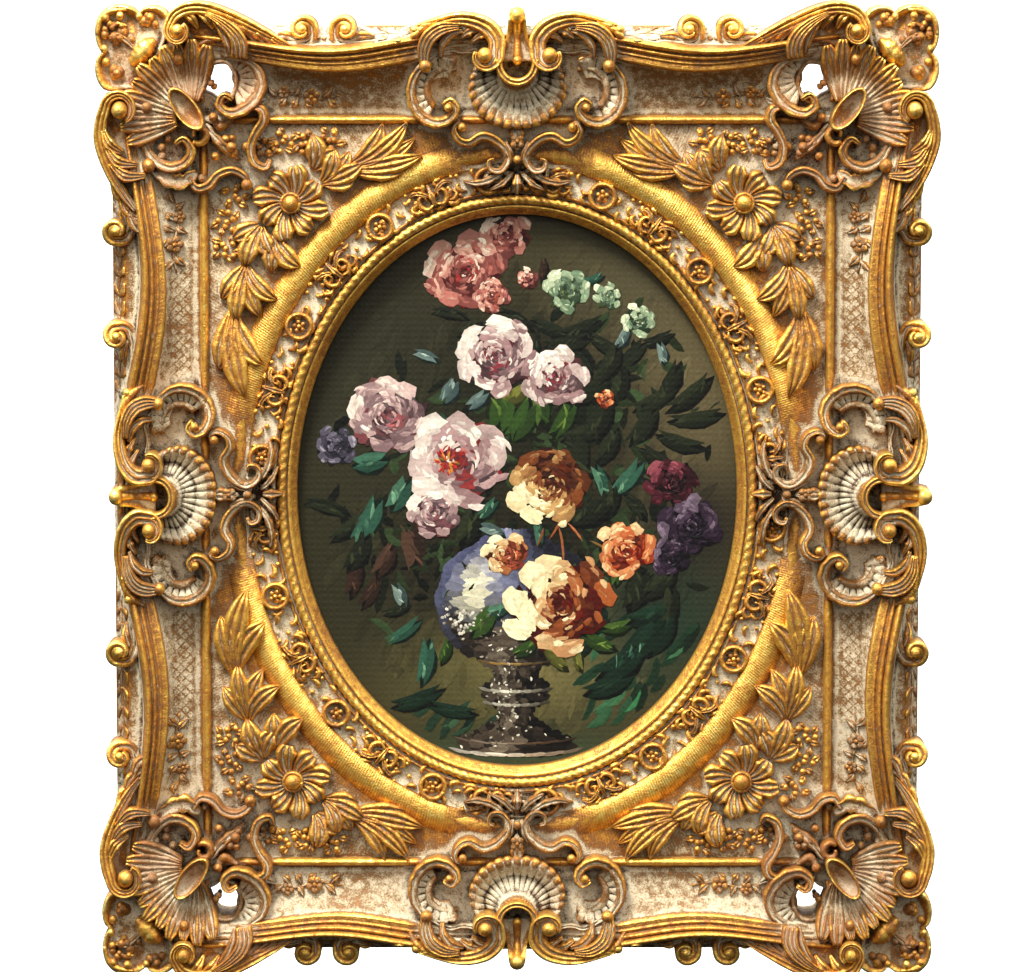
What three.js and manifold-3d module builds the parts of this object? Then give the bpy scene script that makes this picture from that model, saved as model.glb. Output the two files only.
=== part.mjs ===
// A framed oil painting: linen on a wooden stretcher, in a gilded frame with an oval sight.
// Millimetres, +Z up, the front faces -Y. The flat back lies on y = 0, against the wall, and the
// origin is the point of that back in the middle of the top rail, where the frame hangs.
// Outlines are given from the frame's centre, as x to the right and z up; "rise" is how far a
// surface stands out from the wall.
import * as THREE from 'three';
import { mergeVertices } from 'three/addons/utils/BufferGeometryUtils.js';
import Module from 'manifold-3d';

const wasm = await Module();
wasm.setup();

const outline = { x: 372, z: 429 }; // half the back outline of the rails
const bead = { x: 287, z: 344 }; // half the rectangle of the straight gilt bead
const sight = { x: 203, z: 256.5 }; // half axes of the oval opening
const rebate = { x: 217, z: 270.5 }; // half the recess that holds the stretched canvas
const rebateRise = 24;
const hangHeight = 350; // from the frame's centre up to the hanging point
// how far the reeded ridge swings inward between the cartouches, on the side and the end rails
const railSweep = { side: 19, end: 10 };
const gap = 0.3; // between pieces that touch

const canvas = { x: 215, z: 268.5, front: 23.6, back: 4, skin: 1, turnover: 14 };
const bar = { width: 45 };

const stationsPerSide = 8;
const buriedRise = 30; // ornaments near the edge start here, inside the body of the frame
const shallowRise = 42; // those over the bead and the spandrels start here, just under the ground

// ---- shapes as closed triangle meshes ----

// A loft through rings of equal length, closed on itself or capped at both ends.
function loft(rings, closed) {
  const size = rings[0].length;
  const index = [];
  const spans = closed ? rings.length : rings.length - 1;
  for (let i = 0; i < spans; i += 1) {
    const near = i * size;
    const far = ((i + 1) % rings.length) * size;
    for (let j = 0; j < size; j += 1) {
      const next = (j + 1) % size;
      index.push(near + j, far + j, far + next);
      index.push(near + j, far + next, near + next);
    }
  }
  const last = (rings.length - 1) * size;
  for (let j = 1; !closed && j < size - 1; j += 1) {
    index.push(0, j, j + 1);
    index.push(last, last + j + 1, last + j);
  }
  const geometry = new THREE.BufferGeometry();
  const numbers = rings.flat().flatMap((p) => [p.x, p.y, p.z]);
  geometry.setAttribute('position', new THREE.Float32BufferAttribute(numbers, 3));
  geometry.setIndex(index);
  return geometry;
}

function signedVolume(position, index) {
  const a = new THREE.Vector3();
  const b = new THREE.Vector3();
  const c = new THREE.Vector3();
  let total = 0;
  for (let i = 0; i < index.length; i += 3) {
    a.fromArray(position, 3 * index[i]);
    b.fromArray(position, 3 * index[i + 1]);
    c.fromArray(position, 3 * index[i + 2]);
    total += a.dot(b.cross(c)) / 6;
  }
  return total;
}

// A manifold solid from a closed geometry, turned the right way out.
function solid(geometry) {
  const bare = geometry.clone();
  bare.deleteAttribute('normal');
  bare.deleteAttribute('uv');
  const merged = mergeVertices(bare, 1e-4);
  const vertProperties = new Float32Array(merged.attributes.position.array);
  const triVerts = new Uint32Array(merged.index.array);
  if (signedVolume(vertProperties, triVerts) < 0) triVerts.reverse();
  return new wasm.Manifold(new wasm.Mesh({ numProp: 3, vertProperties, triVerts }));
}

function geometryOf(manifold) {
  const mesh = manifold.getMesh();
  const geometry = new THREE.BufferGeometry();
  geometry.setAttribute('position', new THREE.Float32BufferAttribute(mesh.vertProperties, 3));
  geometry.setIndex(Array.from(mesh.triVerts));
  return geometry;
}

const at = (x, z, rise) => new THREE.Vector3(x, -rise, z);

// ---- ornament shapes, each drawn by a placing function that turns local x, z into frame x, z ----

// A raised band along a smooth path. Its width and rise run evenly from start to end values. Its
// section is a ridge, or has a flat crest where crest is over 0.
function band(place, path, width, rise, steps, crest = 0, foot = crest ? buriedRise : shallowRise) {
  const curve = new THREE.CatmullRomCurve3(path.map(([x, z]) => new THREE.Vector3(x, 0, z)));
  const rings = [];
  for (let i = 0; i <= steps; i += 1) {
    const t = i / steps;
    const point = curve.getPoint(t);
    const along = curve.getTangent(t);
    const half = THREE.MathUtils.lerp(width[0], width[1], t) / 2;
    const top = THREE.MathUtils.lerp(rise[0], rise[1], t);
    const tops = crest ? [[-crest, top], [crest, top]] : [[0, top]];
    const section = [[-1, foot], ...tops, [1, foot]];
    rings.push(section.map(([side, height]) => {
      const [x, z] = place(point.x - along.z * half * side, point.z + along.x * half * side);
      return at(x, z, height);
    }));
  }
  return solid(loft(rings, false));
}

// The corners of a regular polygon round a centre.
function polygon(centre, radius, sides) {
  return Array.from({ length: sides }, (_, i) => {
    const angle = (2 * Math.PI * (i + 0.5)) / sides;
    return [centre[0] + radius * Math.cos(angle), centre[1] + radius * Math.sin(angle)];
  });
}

// A round boss from levels of [part of the radius, rise].
function boss(place, centre, radius, sides, levels) {
  const rings = levels.map(([scale, rise]) => polygon(centre, radius * scale, sides)
    .map((point) => at(...place(...point), rise)));
  return solid(loft(rings, false));
}

// A volute: the rolled end of a scroll, a raised ring round a sunk groove and a round eye.
function volute(place, centre, radius, rise) {
  const levels = [[1, buriedRise], [0.9, rise], [0.6, rise - 7], [0.3, rise + 2]];
  return boss(place, centre, radius, 5, levels);
}

// A scallop shell: flutes fan out from the hinge, over a lip, into a bowl and up to the rim.
// Its profile lists [radius, rise] from the hinge out.
function shell(place, centre, profile, from, to, flutes) {
  const inner = profile[0][0];
  const outer = profile[profile.length - 1][0];
  const rings = [];
  for (let i = 0; i <= 2 * flutes; i += 1) {
    const ridge = i % 2;
    const angle = THREE.MathUtils.degToRad(from + ((to - from) * i) / (2 * flutes));
    const ray = ([radius, height]) => {
      const flare = 1.8 * ridge * ((radius - inner) / (outer - inner));
      const x = centre[0] + (radius + 2 * flare) * Math.cos(angle);
      const z = centre[1] + (radius + 2 * flare) * Math.sin(angle);
      return at(...place(x, z), height + (height > buriedRise ? 2 * flare : 0));
    };
    rings.push([ray([inner, buriedRise]), ...profile.map(ray), ray([outer, buriedRise])]);
  }
  return solid(loft(rings, false));
}

// A pointed leaf with a rib along its middle.
function leaf(place, root, angle, length, width, rise) {
  const direction = THREE.MathUtils.degToRad(angle);
  const along = [Math.cos(direction), Math.sin(direction)];
  const spans = [[0, 0.25], [0.45, 1], [1, 0.08]];
  const rings = spans.map(([reach, spread]) => {
    const half = (width * spread) / 2;
    const corner = (side, height) => {
      const x = root[0] + along[0] * length * reach - along[1] * half * side;
      const z = root[1] + along[1] * length * reach + along[0] * half * side;
      return at(...place(x, z), height);
    };
    return [corner(-1, shallowRise), corner(0, rise - 3 * reach), corner(1, shallowRise)];
  });
  return solid(loft(rings, false));
}

// A curled leaf tip that rolls out over the edge of a rail.
function curl(x, z, radius) {
  return boss((px, pz) => [px, pz], [x, z], radius, 5, [[0.9, 16], [1, 50], [0.6, 64]]);
}

// ---- the body of the frame ----

// One point of a rectangle, at a part of the way along one of its four sides.
function onRectangle(half, side, part) {
  const corners = [[-1, 1], [1, 1], [1, -1], [-1, -1]];
  const [fromX, fromZ] = corners[side];
  const [toX, toZ] = corners[(side + 1) % 4];
  return [half.x * (fromX + (toX - fromX) * part), half.z * (fromZ + (toZ - fromZ) * part)];
}

function onOval(half, side, part) {
  const angle = THREE.MathUtils.degToRad(135 - 90 * (side + part));
  return [half.x * Math.cos(angle), half.z * Math.sin(angle)];
}

// The section from the wall, round the front, and back. Each step has its line and its rise. A
// step that is measured out from the bead also swings inward between the cartouches, and dips
// under them.
function bodySection() {
  const fromBead = (out, rise, swing = 0, dip = 0) => ({ out, rise, swing, dip });
  const fromSight = (offset, rise) => ({ offset, rise });
  return [
    { line: outline, rise: 0 },
    { line: outline, rise: 28 },
    fromBead(79, 50, 0.5, 2), fromBead(76, 70, 1, 16), fromBead(72, 79, 1, 21),
    fromBead(60, 79, 1, 21), fromBead(55, 68, 1, 16), fromBead(22, 49, 0.3),
    fromBead(4.5, 46), fromBead(0, 51), fromBead(-4.5, 45),
    fromSight(62, 45), fromSight(55, 55), fromSight(46, 46),
    fromSight(14, 48), fromSight(8, 42), fromSight(0, 34), fromSight(0, rebateRise),
    { line: rebate, rise: rebateRise },
    { line: rebate, rise: 0 },
  ];
}

function body() {
  const section = bodySection();
  const rings = [];
  for (let n = 0; n < 4 * stationsPerSide; n += 1) {
    const side = Math.floor(n / stationsPerSide);
    const part = (n % stationsPerSide) / stationsPerSide;
    const between = Math.sin(2 * Math.PI * part) ** 2;
    const sweep = side % 2 ? railSweep.side : railSweep.end;
    rings.push(section.map((step) => {
      if (step.offset !== undefined) {
        const half = { x: sight.x + step.offset, z: sight.z + step.offset };
        return at(...onOval(half, side, part), step.rise);
      }
      if (step.line) return at(...onRectangle(step.line, side, part), step.rise);
      const out = step.out - sweep * between * step.swing;
      const half = { x: bead.x + out, z: bead.z + out };
      return at(...onRectangle(half, side, part), step.rise - step.dip * (1 - between) ** 2);
    }));
  }
  return solid(loft(rings, true));
}

// ---- the centre cartouche, drawn for the top rail: x along the rail, z out from the bead ----

function centreCartouche(placeAlong) {
  const bowl = [[14, 84], [27, 66], [51, 66]];
  const parts = [
    band(placeAlong, [[0, 96], [0, 58]], [15, 22], [72, 80], 1, 0.6),
    shell(placeAlong, [0, 46], bowl, 187, 353, 5),
    leaf(placeAlong, [0, -9], -90, 32, 15, 60),
  ];
  for (const sign of [1, -1]) {
    const place = (x, z) => placeAlong(sign * x, z);
    parts.push(
      volute(place, [31, 57], 16, 88),
      band(place, [[20, 64], [25, 80], [45, 91], [70, 91], [96, 84]], [12, 11], [86, 76], 4),
      band(place, [[64, 83], [80, 72], [86, 48]], [10, 16], [82, 74], 2, 0.5),
      band(place, [[97, 41], [101, 22], [93, 6], [78, 0], [65, 10]], [7, 13], [60, 66], 3),
      band(place, [[54, -4], [46, -20], [33, -16], [20, -20], [17, -40]], [13, 10], [62, 58], 3),
    );
  }
  return parts;
}

// ---- the corner cartouche, drawn for the upper left corner ----

// Points that bulge out to the left of the straight line between two notches, ends included.
function lobe(from, to, bulge, count) {
  const alongX = to[0] - from[0];
  const alongZ = to[1] - from[1];
  const length = Math.hypot(alongX, alongZ);
  return Array.from({ length: count }, (_, i) => {
    const t = i / count;
    const out = (bulge * Math.sin(Math.PI * t)) / length;
    return [from[0] + alongX * t + alongZ * out, from[1] + alongZ * t - alongX * out];
  });
}

// The lobed wing behind the shell, which overhangs the corner of the frame.
function cornerWing(place) {
  const rim = [
    ...lobe([-318, 434], [-349, 441], 9, 2),
    ...lobe([-349, 441], [-387, 405], 25, 4),
    ...lobe([-387, 405], [-378, 368], 8, 2),
    [-378, 368], [-340, 370], [-318, 390],
  ];
  const middle = [-345, 405];
  const level = (scale, rise) => rim.map(([x, z]) => {
    const point = [middle[0] + (x - middle[0]) * scale, middle[1] + (z - middle[1]) * scale];
    return at(...place(...point), rise);
  });
  return solid(loft([level(0.97, buriedRise), level(1, 44), level(0.86, 56)], false));
}

function cornerCartouche(place) {
  const upperScroll = [[-316, 430], [-309, 441], [-294, 445], [-266, 441], [-206, 412]];
  const sideScroll = [[-380, 362], [-386, 344], [-384, 320], [-376, 298], [-352, 262]];
  return [
    cornerWing(place),
    shell(place, [-297, 347], [[12, 76], [36, 68], [68, 70]], 88, 188, 5),
    volute(place, [-304, 424], 15, 84),
    band(place, upperScroll, [11, 9], [85, 78], 4),
    band(place, [[-272, 437], [-257, 426], [-254, 403]], [10, 15], [82, 72], 2, 0.5),
    volute(place, [-366, 356], 17, 84),
    band(place, sideScroll, [11, 9], [85, 78], 4),
    band(place, [[-378, 316], [-364, 303], [-340, 302]], [10, 15], [82, 72], 2, 0.5),
    band(place, [[-244, 396], [-234, 378], [-240, 360], [-261, 355]], [8, 13], [62, 68], 3),
    band(place, [[-345, 318], [-333, 302], [-315, 300], [-303, 319]], [8, 13], [62, 68], 3),
    band(place, [[-236, 350], [-233, 338], [-240, 318], [-229, 303]], [10, 8], [62, 58], 3),
    band(place, [[-296, 286], [-286, 284], [-266, 297], [-250, 287]], [10, 8], [62, 58], 3),
    leaf(place, [-288, 333], -45, 58, 26, 60),
  ];
}

// ---- a leafy spandrel, drawn for the upper left one ----

function spandrel(place) {
  const rosette = [-207, 268];
  const petals = 6;
  const star = (reach, valley) => Array.from({ length: 2 * petals }, (_, i) => {
    const radius = i % 2 ? valley : reach;
    const angle = (Math.PI * i) / petals;
    return [rosette[0] + radius * Math.cos(angle), rosette[1] + radius * Math.sin(angle)];
  });
  const level = (reach, valley, rise) => star(reach, valley).map((point) => at(...place(...point), rise));
  const flower = [level(31, 20, shallowRise), level(29, 18, 52), level(8, 8, 50), level(5, 5, 58)];
  const parts = [solid(loft(flower, false))];
  // Each spray is a few leaves along a stem that leaves the rosette.
  const sprays = [
    { root: [-172, 285], heading: 20, step: 40, leaves: 2 },
    { root: [-238, 236], heading: -103, step: 44, leaves: 3 },
  ];
  for (const { root, heading, step, leaves } of sprays) {
    const direction = THREE.MathUtils.degToRad(heading);
    for (let i = 0; i < leaves; i += 1) {
      const joint = [root[0] + i * step * Math.cos(direction), root[1] + i * step * Math.sin(direction)];
      parts.push(leaf(place, joint, heading + (i % 2 ? 14 : -14), 38, 24, 53));
    }
  }
  return parts;
}

function frameSolid() {
  const parts = [];
  parts.push(...centreCartouche((x, z) => [x, bead.z + z]));
  parts.push(...centreCartouche((x, z) => [x, -bead.z - z]));
  parts.push(...centreCartouche((x, z) => [-bead.x - z + 3, x]));
  parts.push(...centreCartouche((x, z) => [bead.x + z - 3, x]));
  let frame = body();
  for (const signX of [-1, 1]) {
    for (const signZ of [-1, 1]) {
      const place = (x, z) => [-signX * x, signZ * z];
      parts.push(...cornerCartouche(place), ...spandrel(place));
      for (const x of [196, 156]) parts.push(curl(signX * x, signZ * 427, 11));
      for (const z of [242, 146]) parts.push(curl(signX * 366, signZ * z, 11));
    }
  }
  for (const part of parts) frame = frame.add(part);
  // The four pierced holes beside the corner shells, through which the wall shows.
  for (const signX of [-1, 1]) {
    for (const signZ of [-1, 1]) {
      const hole = new THREE.CylinderGeometry(1, 1, 240, 10);
      hole.scale(14.5, 1, 16.5);
      hole.translate(signX * 272, 0, signZ * 378);
      frame = frame.subtract(solid(hole));
    }
  }
  return frame;
}

// ---- the stretched canvas and its bars ----

// The linen is one skin: over the front of the bars, round their edges, and turned over at the back.
function canvasSolid() {
  const { x, z, front, back, skin, turnover } = canvas;
  const slab = (inset, near, far) => {
    const half = { x: x - inset, z: z - inset };
    const ring = (rise) => [0, 1, 2, 3].map((side) => at(...onRectangle(half, side, 0), rise));
    return solid(loft([ring(near), ring(far)], false));
  };
  const wrapped = slab(0, back, front);
  const aroundBars = slab(skin, back + skin, front - skin);
  const behind = slab(turnover, back - skin, front - 2 * skin);
  return wrapped.subtract(aroundBars).subtract(behind);
}

// One mitred bar of the stretcher, along one side of the rectangle inside the linen.
function stretcherBar(side) {
  const { x, z, front, back, skin } = canvas;
  const outer = { x: x - skin - gap, z: z - skin - gap };
  const inner = { x: outer.x - bar.width, z: outer.z - bar.width };
  const end = (part) => {
    const near = back + skin + gap;
    const far = front - skin - gap;
    const [ox, oz] = onRectangle(outer, side, part);
    const [ix, iz] = onRectangle(inner, side, part);
    const [mx, mz] = onRectangle({ x: 1, z: 1 }, side, 0.5);
    const shift = (gap / 2) * (part ? -1 : 1);
    const dx = mz ? shift * Math.sign(mz) : 0;
    const dz = mx ? -shift * Math.sign(mx) : 0;
    return [
      at(ox + dx, oz + dz, near), at(ox + dx, oz + dz, far),
      at(ix + dx, iz + dz, far - 3), at(ix + dx, iz + dz, near),
    ];
  };
  return loft([end(0), end(1)], false);
}

// ---- the object ----

const group = new THREE.Group();

function addPiece(name, geometry, colour, roughness, metalness) {
  const material = new THREE.MeshStandardMaterial({ color: colour, roughness, metalness });
  const mesh = new THREE.Mesh(geometry, material);
  mesh.name = name;
  mesh.position.z = -hangHeight;
  group.add(mesh);
}

addPiece('frame', geometryOf(frameSolid()), 0xb98a3a, 0.4, 0.8);
addPiece('canvas', geometryOf(canvasSolid()), 0x4a4632, 0.6, 0);
['top', 'right', 'bottom', 'left'].forEach((name, side) => {
  const bare = solid(stretcherBar(side));
  addPiece(`stretcher_${name}`, geometryOf(bare), 0xc9a777, 0.75, 0);
});

export default group;
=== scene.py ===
import bpy
import numpy as np
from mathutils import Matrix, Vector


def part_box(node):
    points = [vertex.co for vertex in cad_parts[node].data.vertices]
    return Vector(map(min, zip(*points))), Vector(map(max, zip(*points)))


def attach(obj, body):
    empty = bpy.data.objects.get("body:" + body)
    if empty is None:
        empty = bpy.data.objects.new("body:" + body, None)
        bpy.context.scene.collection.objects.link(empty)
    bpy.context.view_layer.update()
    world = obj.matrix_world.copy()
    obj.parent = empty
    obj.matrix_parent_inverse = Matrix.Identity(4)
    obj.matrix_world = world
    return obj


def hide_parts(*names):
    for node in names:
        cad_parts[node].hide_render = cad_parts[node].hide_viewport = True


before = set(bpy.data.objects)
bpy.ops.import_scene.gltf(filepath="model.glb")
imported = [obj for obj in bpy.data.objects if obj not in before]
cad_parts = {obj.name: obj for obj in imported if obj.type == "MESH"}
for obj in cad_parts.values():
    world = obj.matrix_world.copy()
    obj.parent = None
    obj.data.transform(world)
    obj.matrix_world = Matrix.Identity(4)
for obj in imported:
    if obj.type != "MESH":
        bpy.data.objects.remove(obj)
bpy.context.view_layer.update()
canvasLow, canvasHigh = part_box("canvas")
centreHeight = (canvasLow.z + canvasHigh.z) / 2  # the frame's centre, measured from the hanging point

# Sizes are in millimetres from the frame's centre: x to the right, z up, rise out of the wall.

moulding = {
    "outline": (372, 429),  # half the back outline of the rails
    "bead": (287, 344),  # half the rectangle of the straight bead
    "sight": (203, 256.5),  # half axes of the oval opening
    "rebate": (217, 270.5),  # half the recess behind it
    "rebateRise": 24,
    "ridge": 71,  # from the bead out to the middle of the reeds
    "sweep": (26, 15),  # how far the reeds swing in between the cartouches: sides, then ends
    "swing": (1.0, 1.9),  # the higher, the shorter each swing
    "dip": (21, 36),  # how far the reeds sink under the cartouches: in the middle, then in the corners
    "stations": 108,  # steps along each side
}


def smoothStep(low, high, value):
    # 3t^2 - 2t^3, where t is the share of the way from low to high
    t = np.clip((value - low) / (high - low), 0, 1)
    return t * t * (3 - 2 * t)


def blend(a, b, share):
    return a + (b - a) * share


def gridPart(x, z, rise):
    # A closed skin from a grid whose rows are closed loops. Each end row is closed by one face.
    rows, columns = x.shape
    index = np.arange(rows * columns).reshape(rows, columns)
    near, far = index[:-1], index[1:]
    quads = np.stack([near, far, np.roll(far, -1, 1), np.roll(near, -1, 1)], -1).reshape(-1)
    loops = np.concatenate([quads, index[0], index[-1][::-1]])
    totals = np.concatenate([np.full((rows - 1) * columns, 4), [columns, columns]])
    points = np.stack([x, z, rise], -1).reshape(-1, 3)
    corner = points[quads.reshape(-1, 4)]
    across = np.cross(corner[:, 2] - corner[:, 0], corner[:, 3] - corner[:, 1])
    middle = corner.mean(1) - points.mean(0)
    # The mean of position . normal is over 0 when the faces point out.
    if (middle * across).sum() < 0:
        loops, totals = loops[::-1], totals[::-1]
    return points, loops, totals


def ringPart(x, z, rise):
    # A closed skin from a grid that closes on itself both ways, turned so that its volume is over 0.
    rows, columns = x.shape
    index = np.arange(rows * columns).reshape(rows, columns)
    far = np.roll(index, -1, 0)
    quads = np.stack([index, far, np.roll(far, -1, 1), np.roll(index, -1, 1)], -1).reshape(-1)
    points = np.stack([x, z, rise + 0 * x], -1).reshape(-1, 3)
    corner = points[quads.reshape(-1, 4)]
    across = np.cross(corner[:, 2] - corner[:, 0], corner[:, 3] - corner[:, 1])
    if (corner.mean(1) * across).sum() < 0:
        quads = quads[::-1]
    return points, quads, np.full(rows * columns, 4)


def joinParts(parts):
    offset = np.cumsum([0] + [len(part[0]) for part in parts])
    points = np.concatenate([part[0] for part in parts])
    loops = np.concatenate([part[1] + start for part, start in zip(parts, offset)])
    totals = np.concatenate([part[2] for part in parts])
    return points, loops, totals


def smoothPath(points, count):
    # A Catmull-Rom curve through the points, in even steps of its length, and how far along the
    # list of points each step is, from 0 to 1.
    p = np.asarray(points, float)
    ends = np.vstack([2 * p[0] - p[1], p, 2 * p[-1] - p[-2]])
    t = np.linspace(0, len(p) - 1, 24 * (len(p) - 1) + 1)
    i = np.minimum(t.astype(int), len(p) - 2)
    f = (t - i)[:, None]
    a, b, c, d = ends[i], ends[i + 1], ends[i + 2], ends[i + 3]
    curve = b + f * (c - a) / 2 + f**2 * (a - 2.5 * b + 2 * c - d / 2) + f**3 * (1.5 * (b - c) + (d - a) / 2)
    length = np.concatenate([[0], np.cumsum(np.hypot(*np.diff(curve, axis=0).T))])
    even = np.linspace(0, length[-1], count)
    path = np.stack([np.interp(even, length, curve[:, k]) for k in (0, 1)], -1)
    return path, np.interp(even, length, t) / (len(p) - 1)


def spread(values, share):
    # A list of values laid out evenly from 0 to 1, read at each share.
    values = np.atleast_1d(np.asarray(values, float))
    return np.interp(share, np.linspace(0, 1, len(values)), values)


def spiral(centre, radii, angles, count=9):
    # Points whose angle and radius run evenly from first to last.
    turn = np.radians(np.linspace(angles[0], angles[1], count))
    radius = np.linspace(radii[0], radii[1], count)
    return [(centre[0] + r * np.cos(a), centre[1] + r * np.sin(a)) for r, a in zip(radius, turn)]


def ribbon(place, points, width, rise, reeds=1, depth=2.0, tilt=0.0, lobes=(0, 0.0), steps=20, foot=34,
           over=False):
    # A raised band along a smooth path. Across it, from s = -1 to 1, its height is
    # rise + tilt * s - depth * (1 - |sin(pi * reeds * (s + 1) / 2)|). Along it, from t = 0 to 1, its
    # width is pinched to 1 - lobes[1] * (1 - |sin(pi * lobes[0] * t)|).
    path, t = smoothPath(points, steps + 1)
    tangent = np.gradient(path, axis=0)
    tangent /= np.linalg.norm(tangent, axis=1)[:, None]
    half = spread(width, t) / 2
    if lobes[0]:
        half = half * (1 - lobes[1] * (1 - np.abs(np.sin(np.pi * lobes[0] * t))))
    s = np.linspace(-1, 1, max(5, 4 * reeds + 1))
    arch = np.abs(np.sin(np.pi * reeds * (s + 1) / 2)) ** 0.7
    shape = tilt * s - depth * (1 - arch)
    shrink = np.minimum(1, half / half.max() + 0.35)[:, None]
    height = spread(rise, t)[:, None] + shape * shrink
    s = np.concatenate([[-1], s, [1]])
    x = path[:, :1] - tangent[:, 1:] * half[:, None] * s
    z = path[:, 1:] + tangent[:, :1] * half[:, None] * s
    x, z = place(x, z)
    height = np.pad(height, ((0, 0), (1, 1)))
    if over:
        height = height + groundRise(x, z)
        height[:, [0, -1]] -= 4
    else:
        height[:, [0, -1]] = foot
    return gridPart(x, z, height)


def ball(place, centre, radius, rise, foot=34, over=False, around=12, squash=1.0):
    # A dome: at angle a its radius is radius * cos(a) and its height rise + squash * radius * sin(a).
    angle = np.radians(np.array([-35, -10, 15, 38, 60, 80]))
    level = np.concatenate([[0.7], np.cos(angle)])[:, None]
    turn = np.linspace(0, 2 * np.pi, around, endpoint=False)
    x, z = place(centre[0] + radius * level * np.cos(turn), centre[1] + radius * level * np.sin(turn))
    height = rise + squash * radius * np.sin(angle)
    base = -4 if over else foot
    height = np.concatenate([[base], height])[:, None] + np.zeros_like(x)
    if over:
        height = height + groundRise(x, z)
    return gridPart(x, z, height)


def shell(place, centre, profile, sweep, flutes, depth, ruffle, foot=34, perFlute=6, reach=(1, 1)):
    # Flutes that fan out from a hinge. At radius r and angle a the height is
    # profile(r) - depth * share * (1 - |sin(pi * flutes * part)|), and the rim reaches out by
    # ruffle * |sin| more, where share runs from 0 at the hinge to 1 at the rim. reach scales the
    # flutes one after another.
    radii, heights = np.array(profile, float).T
    share = np.linspace(0, 1, 16)
    part = np.linspace(0, 1, flutes * perFlute + 1)[:, None]
    arch = np.abs(np.sin(np.pi * flutes * part)) ** 0.5
    radius = blend(radii[0], radii[-1] * spread(reach, part), share) + ruffle * share**2 * arch
    height = np.interp(blend(radii[0], radii[-1], share), radii, heights)
    height = height - depth * np.minimum(1, share * 2.2) * (1 - arch)
    angle = np.radians(blend(sweep[0], sweep[1], part))
    radius = np.concatenate([radius[:, :1], radius, radius[:, -1:]], 1)
    height = np.pad(height, ((0, 0), (1, 1)), constant_values=foot)
    x, z = place(centre[0] + radius * np.cos(angle), centre[1] + radius * np.sin(angle))
    return gridPart(x, z, height)


def plate(place, rim, middle, levels):
    # A lobed plate: each level draws the rim in towards the middle, and lifts it to its rise.
    rim = np.asarray(rim, float)
    scale, rise = np.array(levels, float).T[:, :, None]
    x, z = place(middle[0] + (rim[:, 0] - middle[0]) * scale, middle[1] + (rim[:, 1] - middle[1]) * scale)
    return gridPart(x, z, rise + np.zeros_like(x))


def shapes(place, rows):
    # Each row is a kind of shape, its values in order and, last, any settings by name.
    parts = []
    for kind, *values in rows:
        settings = values.pop() if isinstance(values[-1], dict) else {}
        parts.append(kind(place, *values, **settings))
    return parts


def ovalOffset(x, z):
    # How far a point is outside the sight: the e for which (x / (a + e))^2 + (z / (b + e))^2 = 1,
    # found by Newton's rule.
    a, b = moulding["sight"]
    e = np.maximum(np.hypot(x, z) - (a + b) / 2, -120.0)
    for _ in range(7):
        u, w = x / (a + e), z / (b + e)
        miss = u * u + w * w - 1
        e = np.maximum(e + miss / (2 * (u * u / (a + e) + w * w / (b + e)) + 1e-9), -150.0)
    return e


def railRise(out, ridge, dip, edge):
    # Height of the rail by its distance out from the bead. From the edge in, it has a sloping leafy
    # strip, a plain recess, four reeds of which the outer is the widest, a cove, a flat and a bead.
    strip = 28 + 24 * smoothStep(0, 14, edge - out)
    flank = blend(52, 72 - dip, smoothStep(ridge + 15, ridge + 10, out))
    reeds = 68 + 0.5 * (out - ridge) - dip
    for middle, half, top in ((7.0, 3.3, 81), (1.1, 2.6, 77.5), (-4.1, 2.6, 74.5), (-8.3, 1.6, 71)):
        arch = np.sqrt(np.clip(1 - ((out - ridge - middle) / half) ** 2, 0, 1))
        reeds = np.maximum(reeds, top - dip - 8 * (1 - arch))
    share = np.clip((out - 13) / (ridge - 10 - 13), 0, 1)
    cove = 46.5 + (17 - 0.5 * dip) * share**2.1
    flat = 46.5 - 1.6 * smoothStep(12, 9, out)
    bead = 44 + 9 * np.sqrt(np.clip(1 - (out / 4.2) ** 2, 0, 1))
    height = np.where(out > edge - 14, strip, flank)
    height = np.where(out < ridge + 10.2, reeds, height)
    height = np.where(out < ridge - 10, cove, height)
    height = np.where(out < 13, flat, height)
    return np.where(out < 4.2, bead, height)


def bandRise(e):
    # Height of the ground under and round the oval band, by its distance out from the sight.
    return np.interp(e, [-1, 1, 8, 14, 21, 46, 55, 62, 68], [30, 31, 36, 38, 40, 42, 48, 46, 45])


def ridgeLine(onSide, between):
    # How far out the middle of the reeds is. between runs from 0 under the cartouches to 1.
    sweep, swing = (np.where(onSide, *moulding[key]) for key in ("sweep", "swing"))
    return moulding["ridge"] - sweep * between**swing


def dipLine(along, between):
    return np.where(np.abs(along) > 0.5, moulding["dip"][1], moulding["dip"][0]) * (1 - between) ** 2


def groundRise(x, z):
    # Height of the plain frame, under its ornaments, at any place.
    beadX, beadZ = moulding["bead"]
    outX, outZ = np.abs(x) - beadX, np.abs(z) - beadZ
    onSide = outX > outZ
    out = np.where(onSide, outX, outZ)
    along = np.where(onSide, z / (beadZ + out), x / (beadX + out))
    between = np.sin(np.pi * (along + 1)) ** 2
    edge = np.where(onSide, moulding["outline"][0] - beadX, moulding["outline"][1] - beadZ)
    rail = railRise(out, ridgeLine(onSide, between), dipLine(along, between), edge)
    rail = np.where(out > edge, 10.0, rail)
    return np.where(out > -4.2, rail, bandRise(ovalOffset(x, z)))


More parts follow.
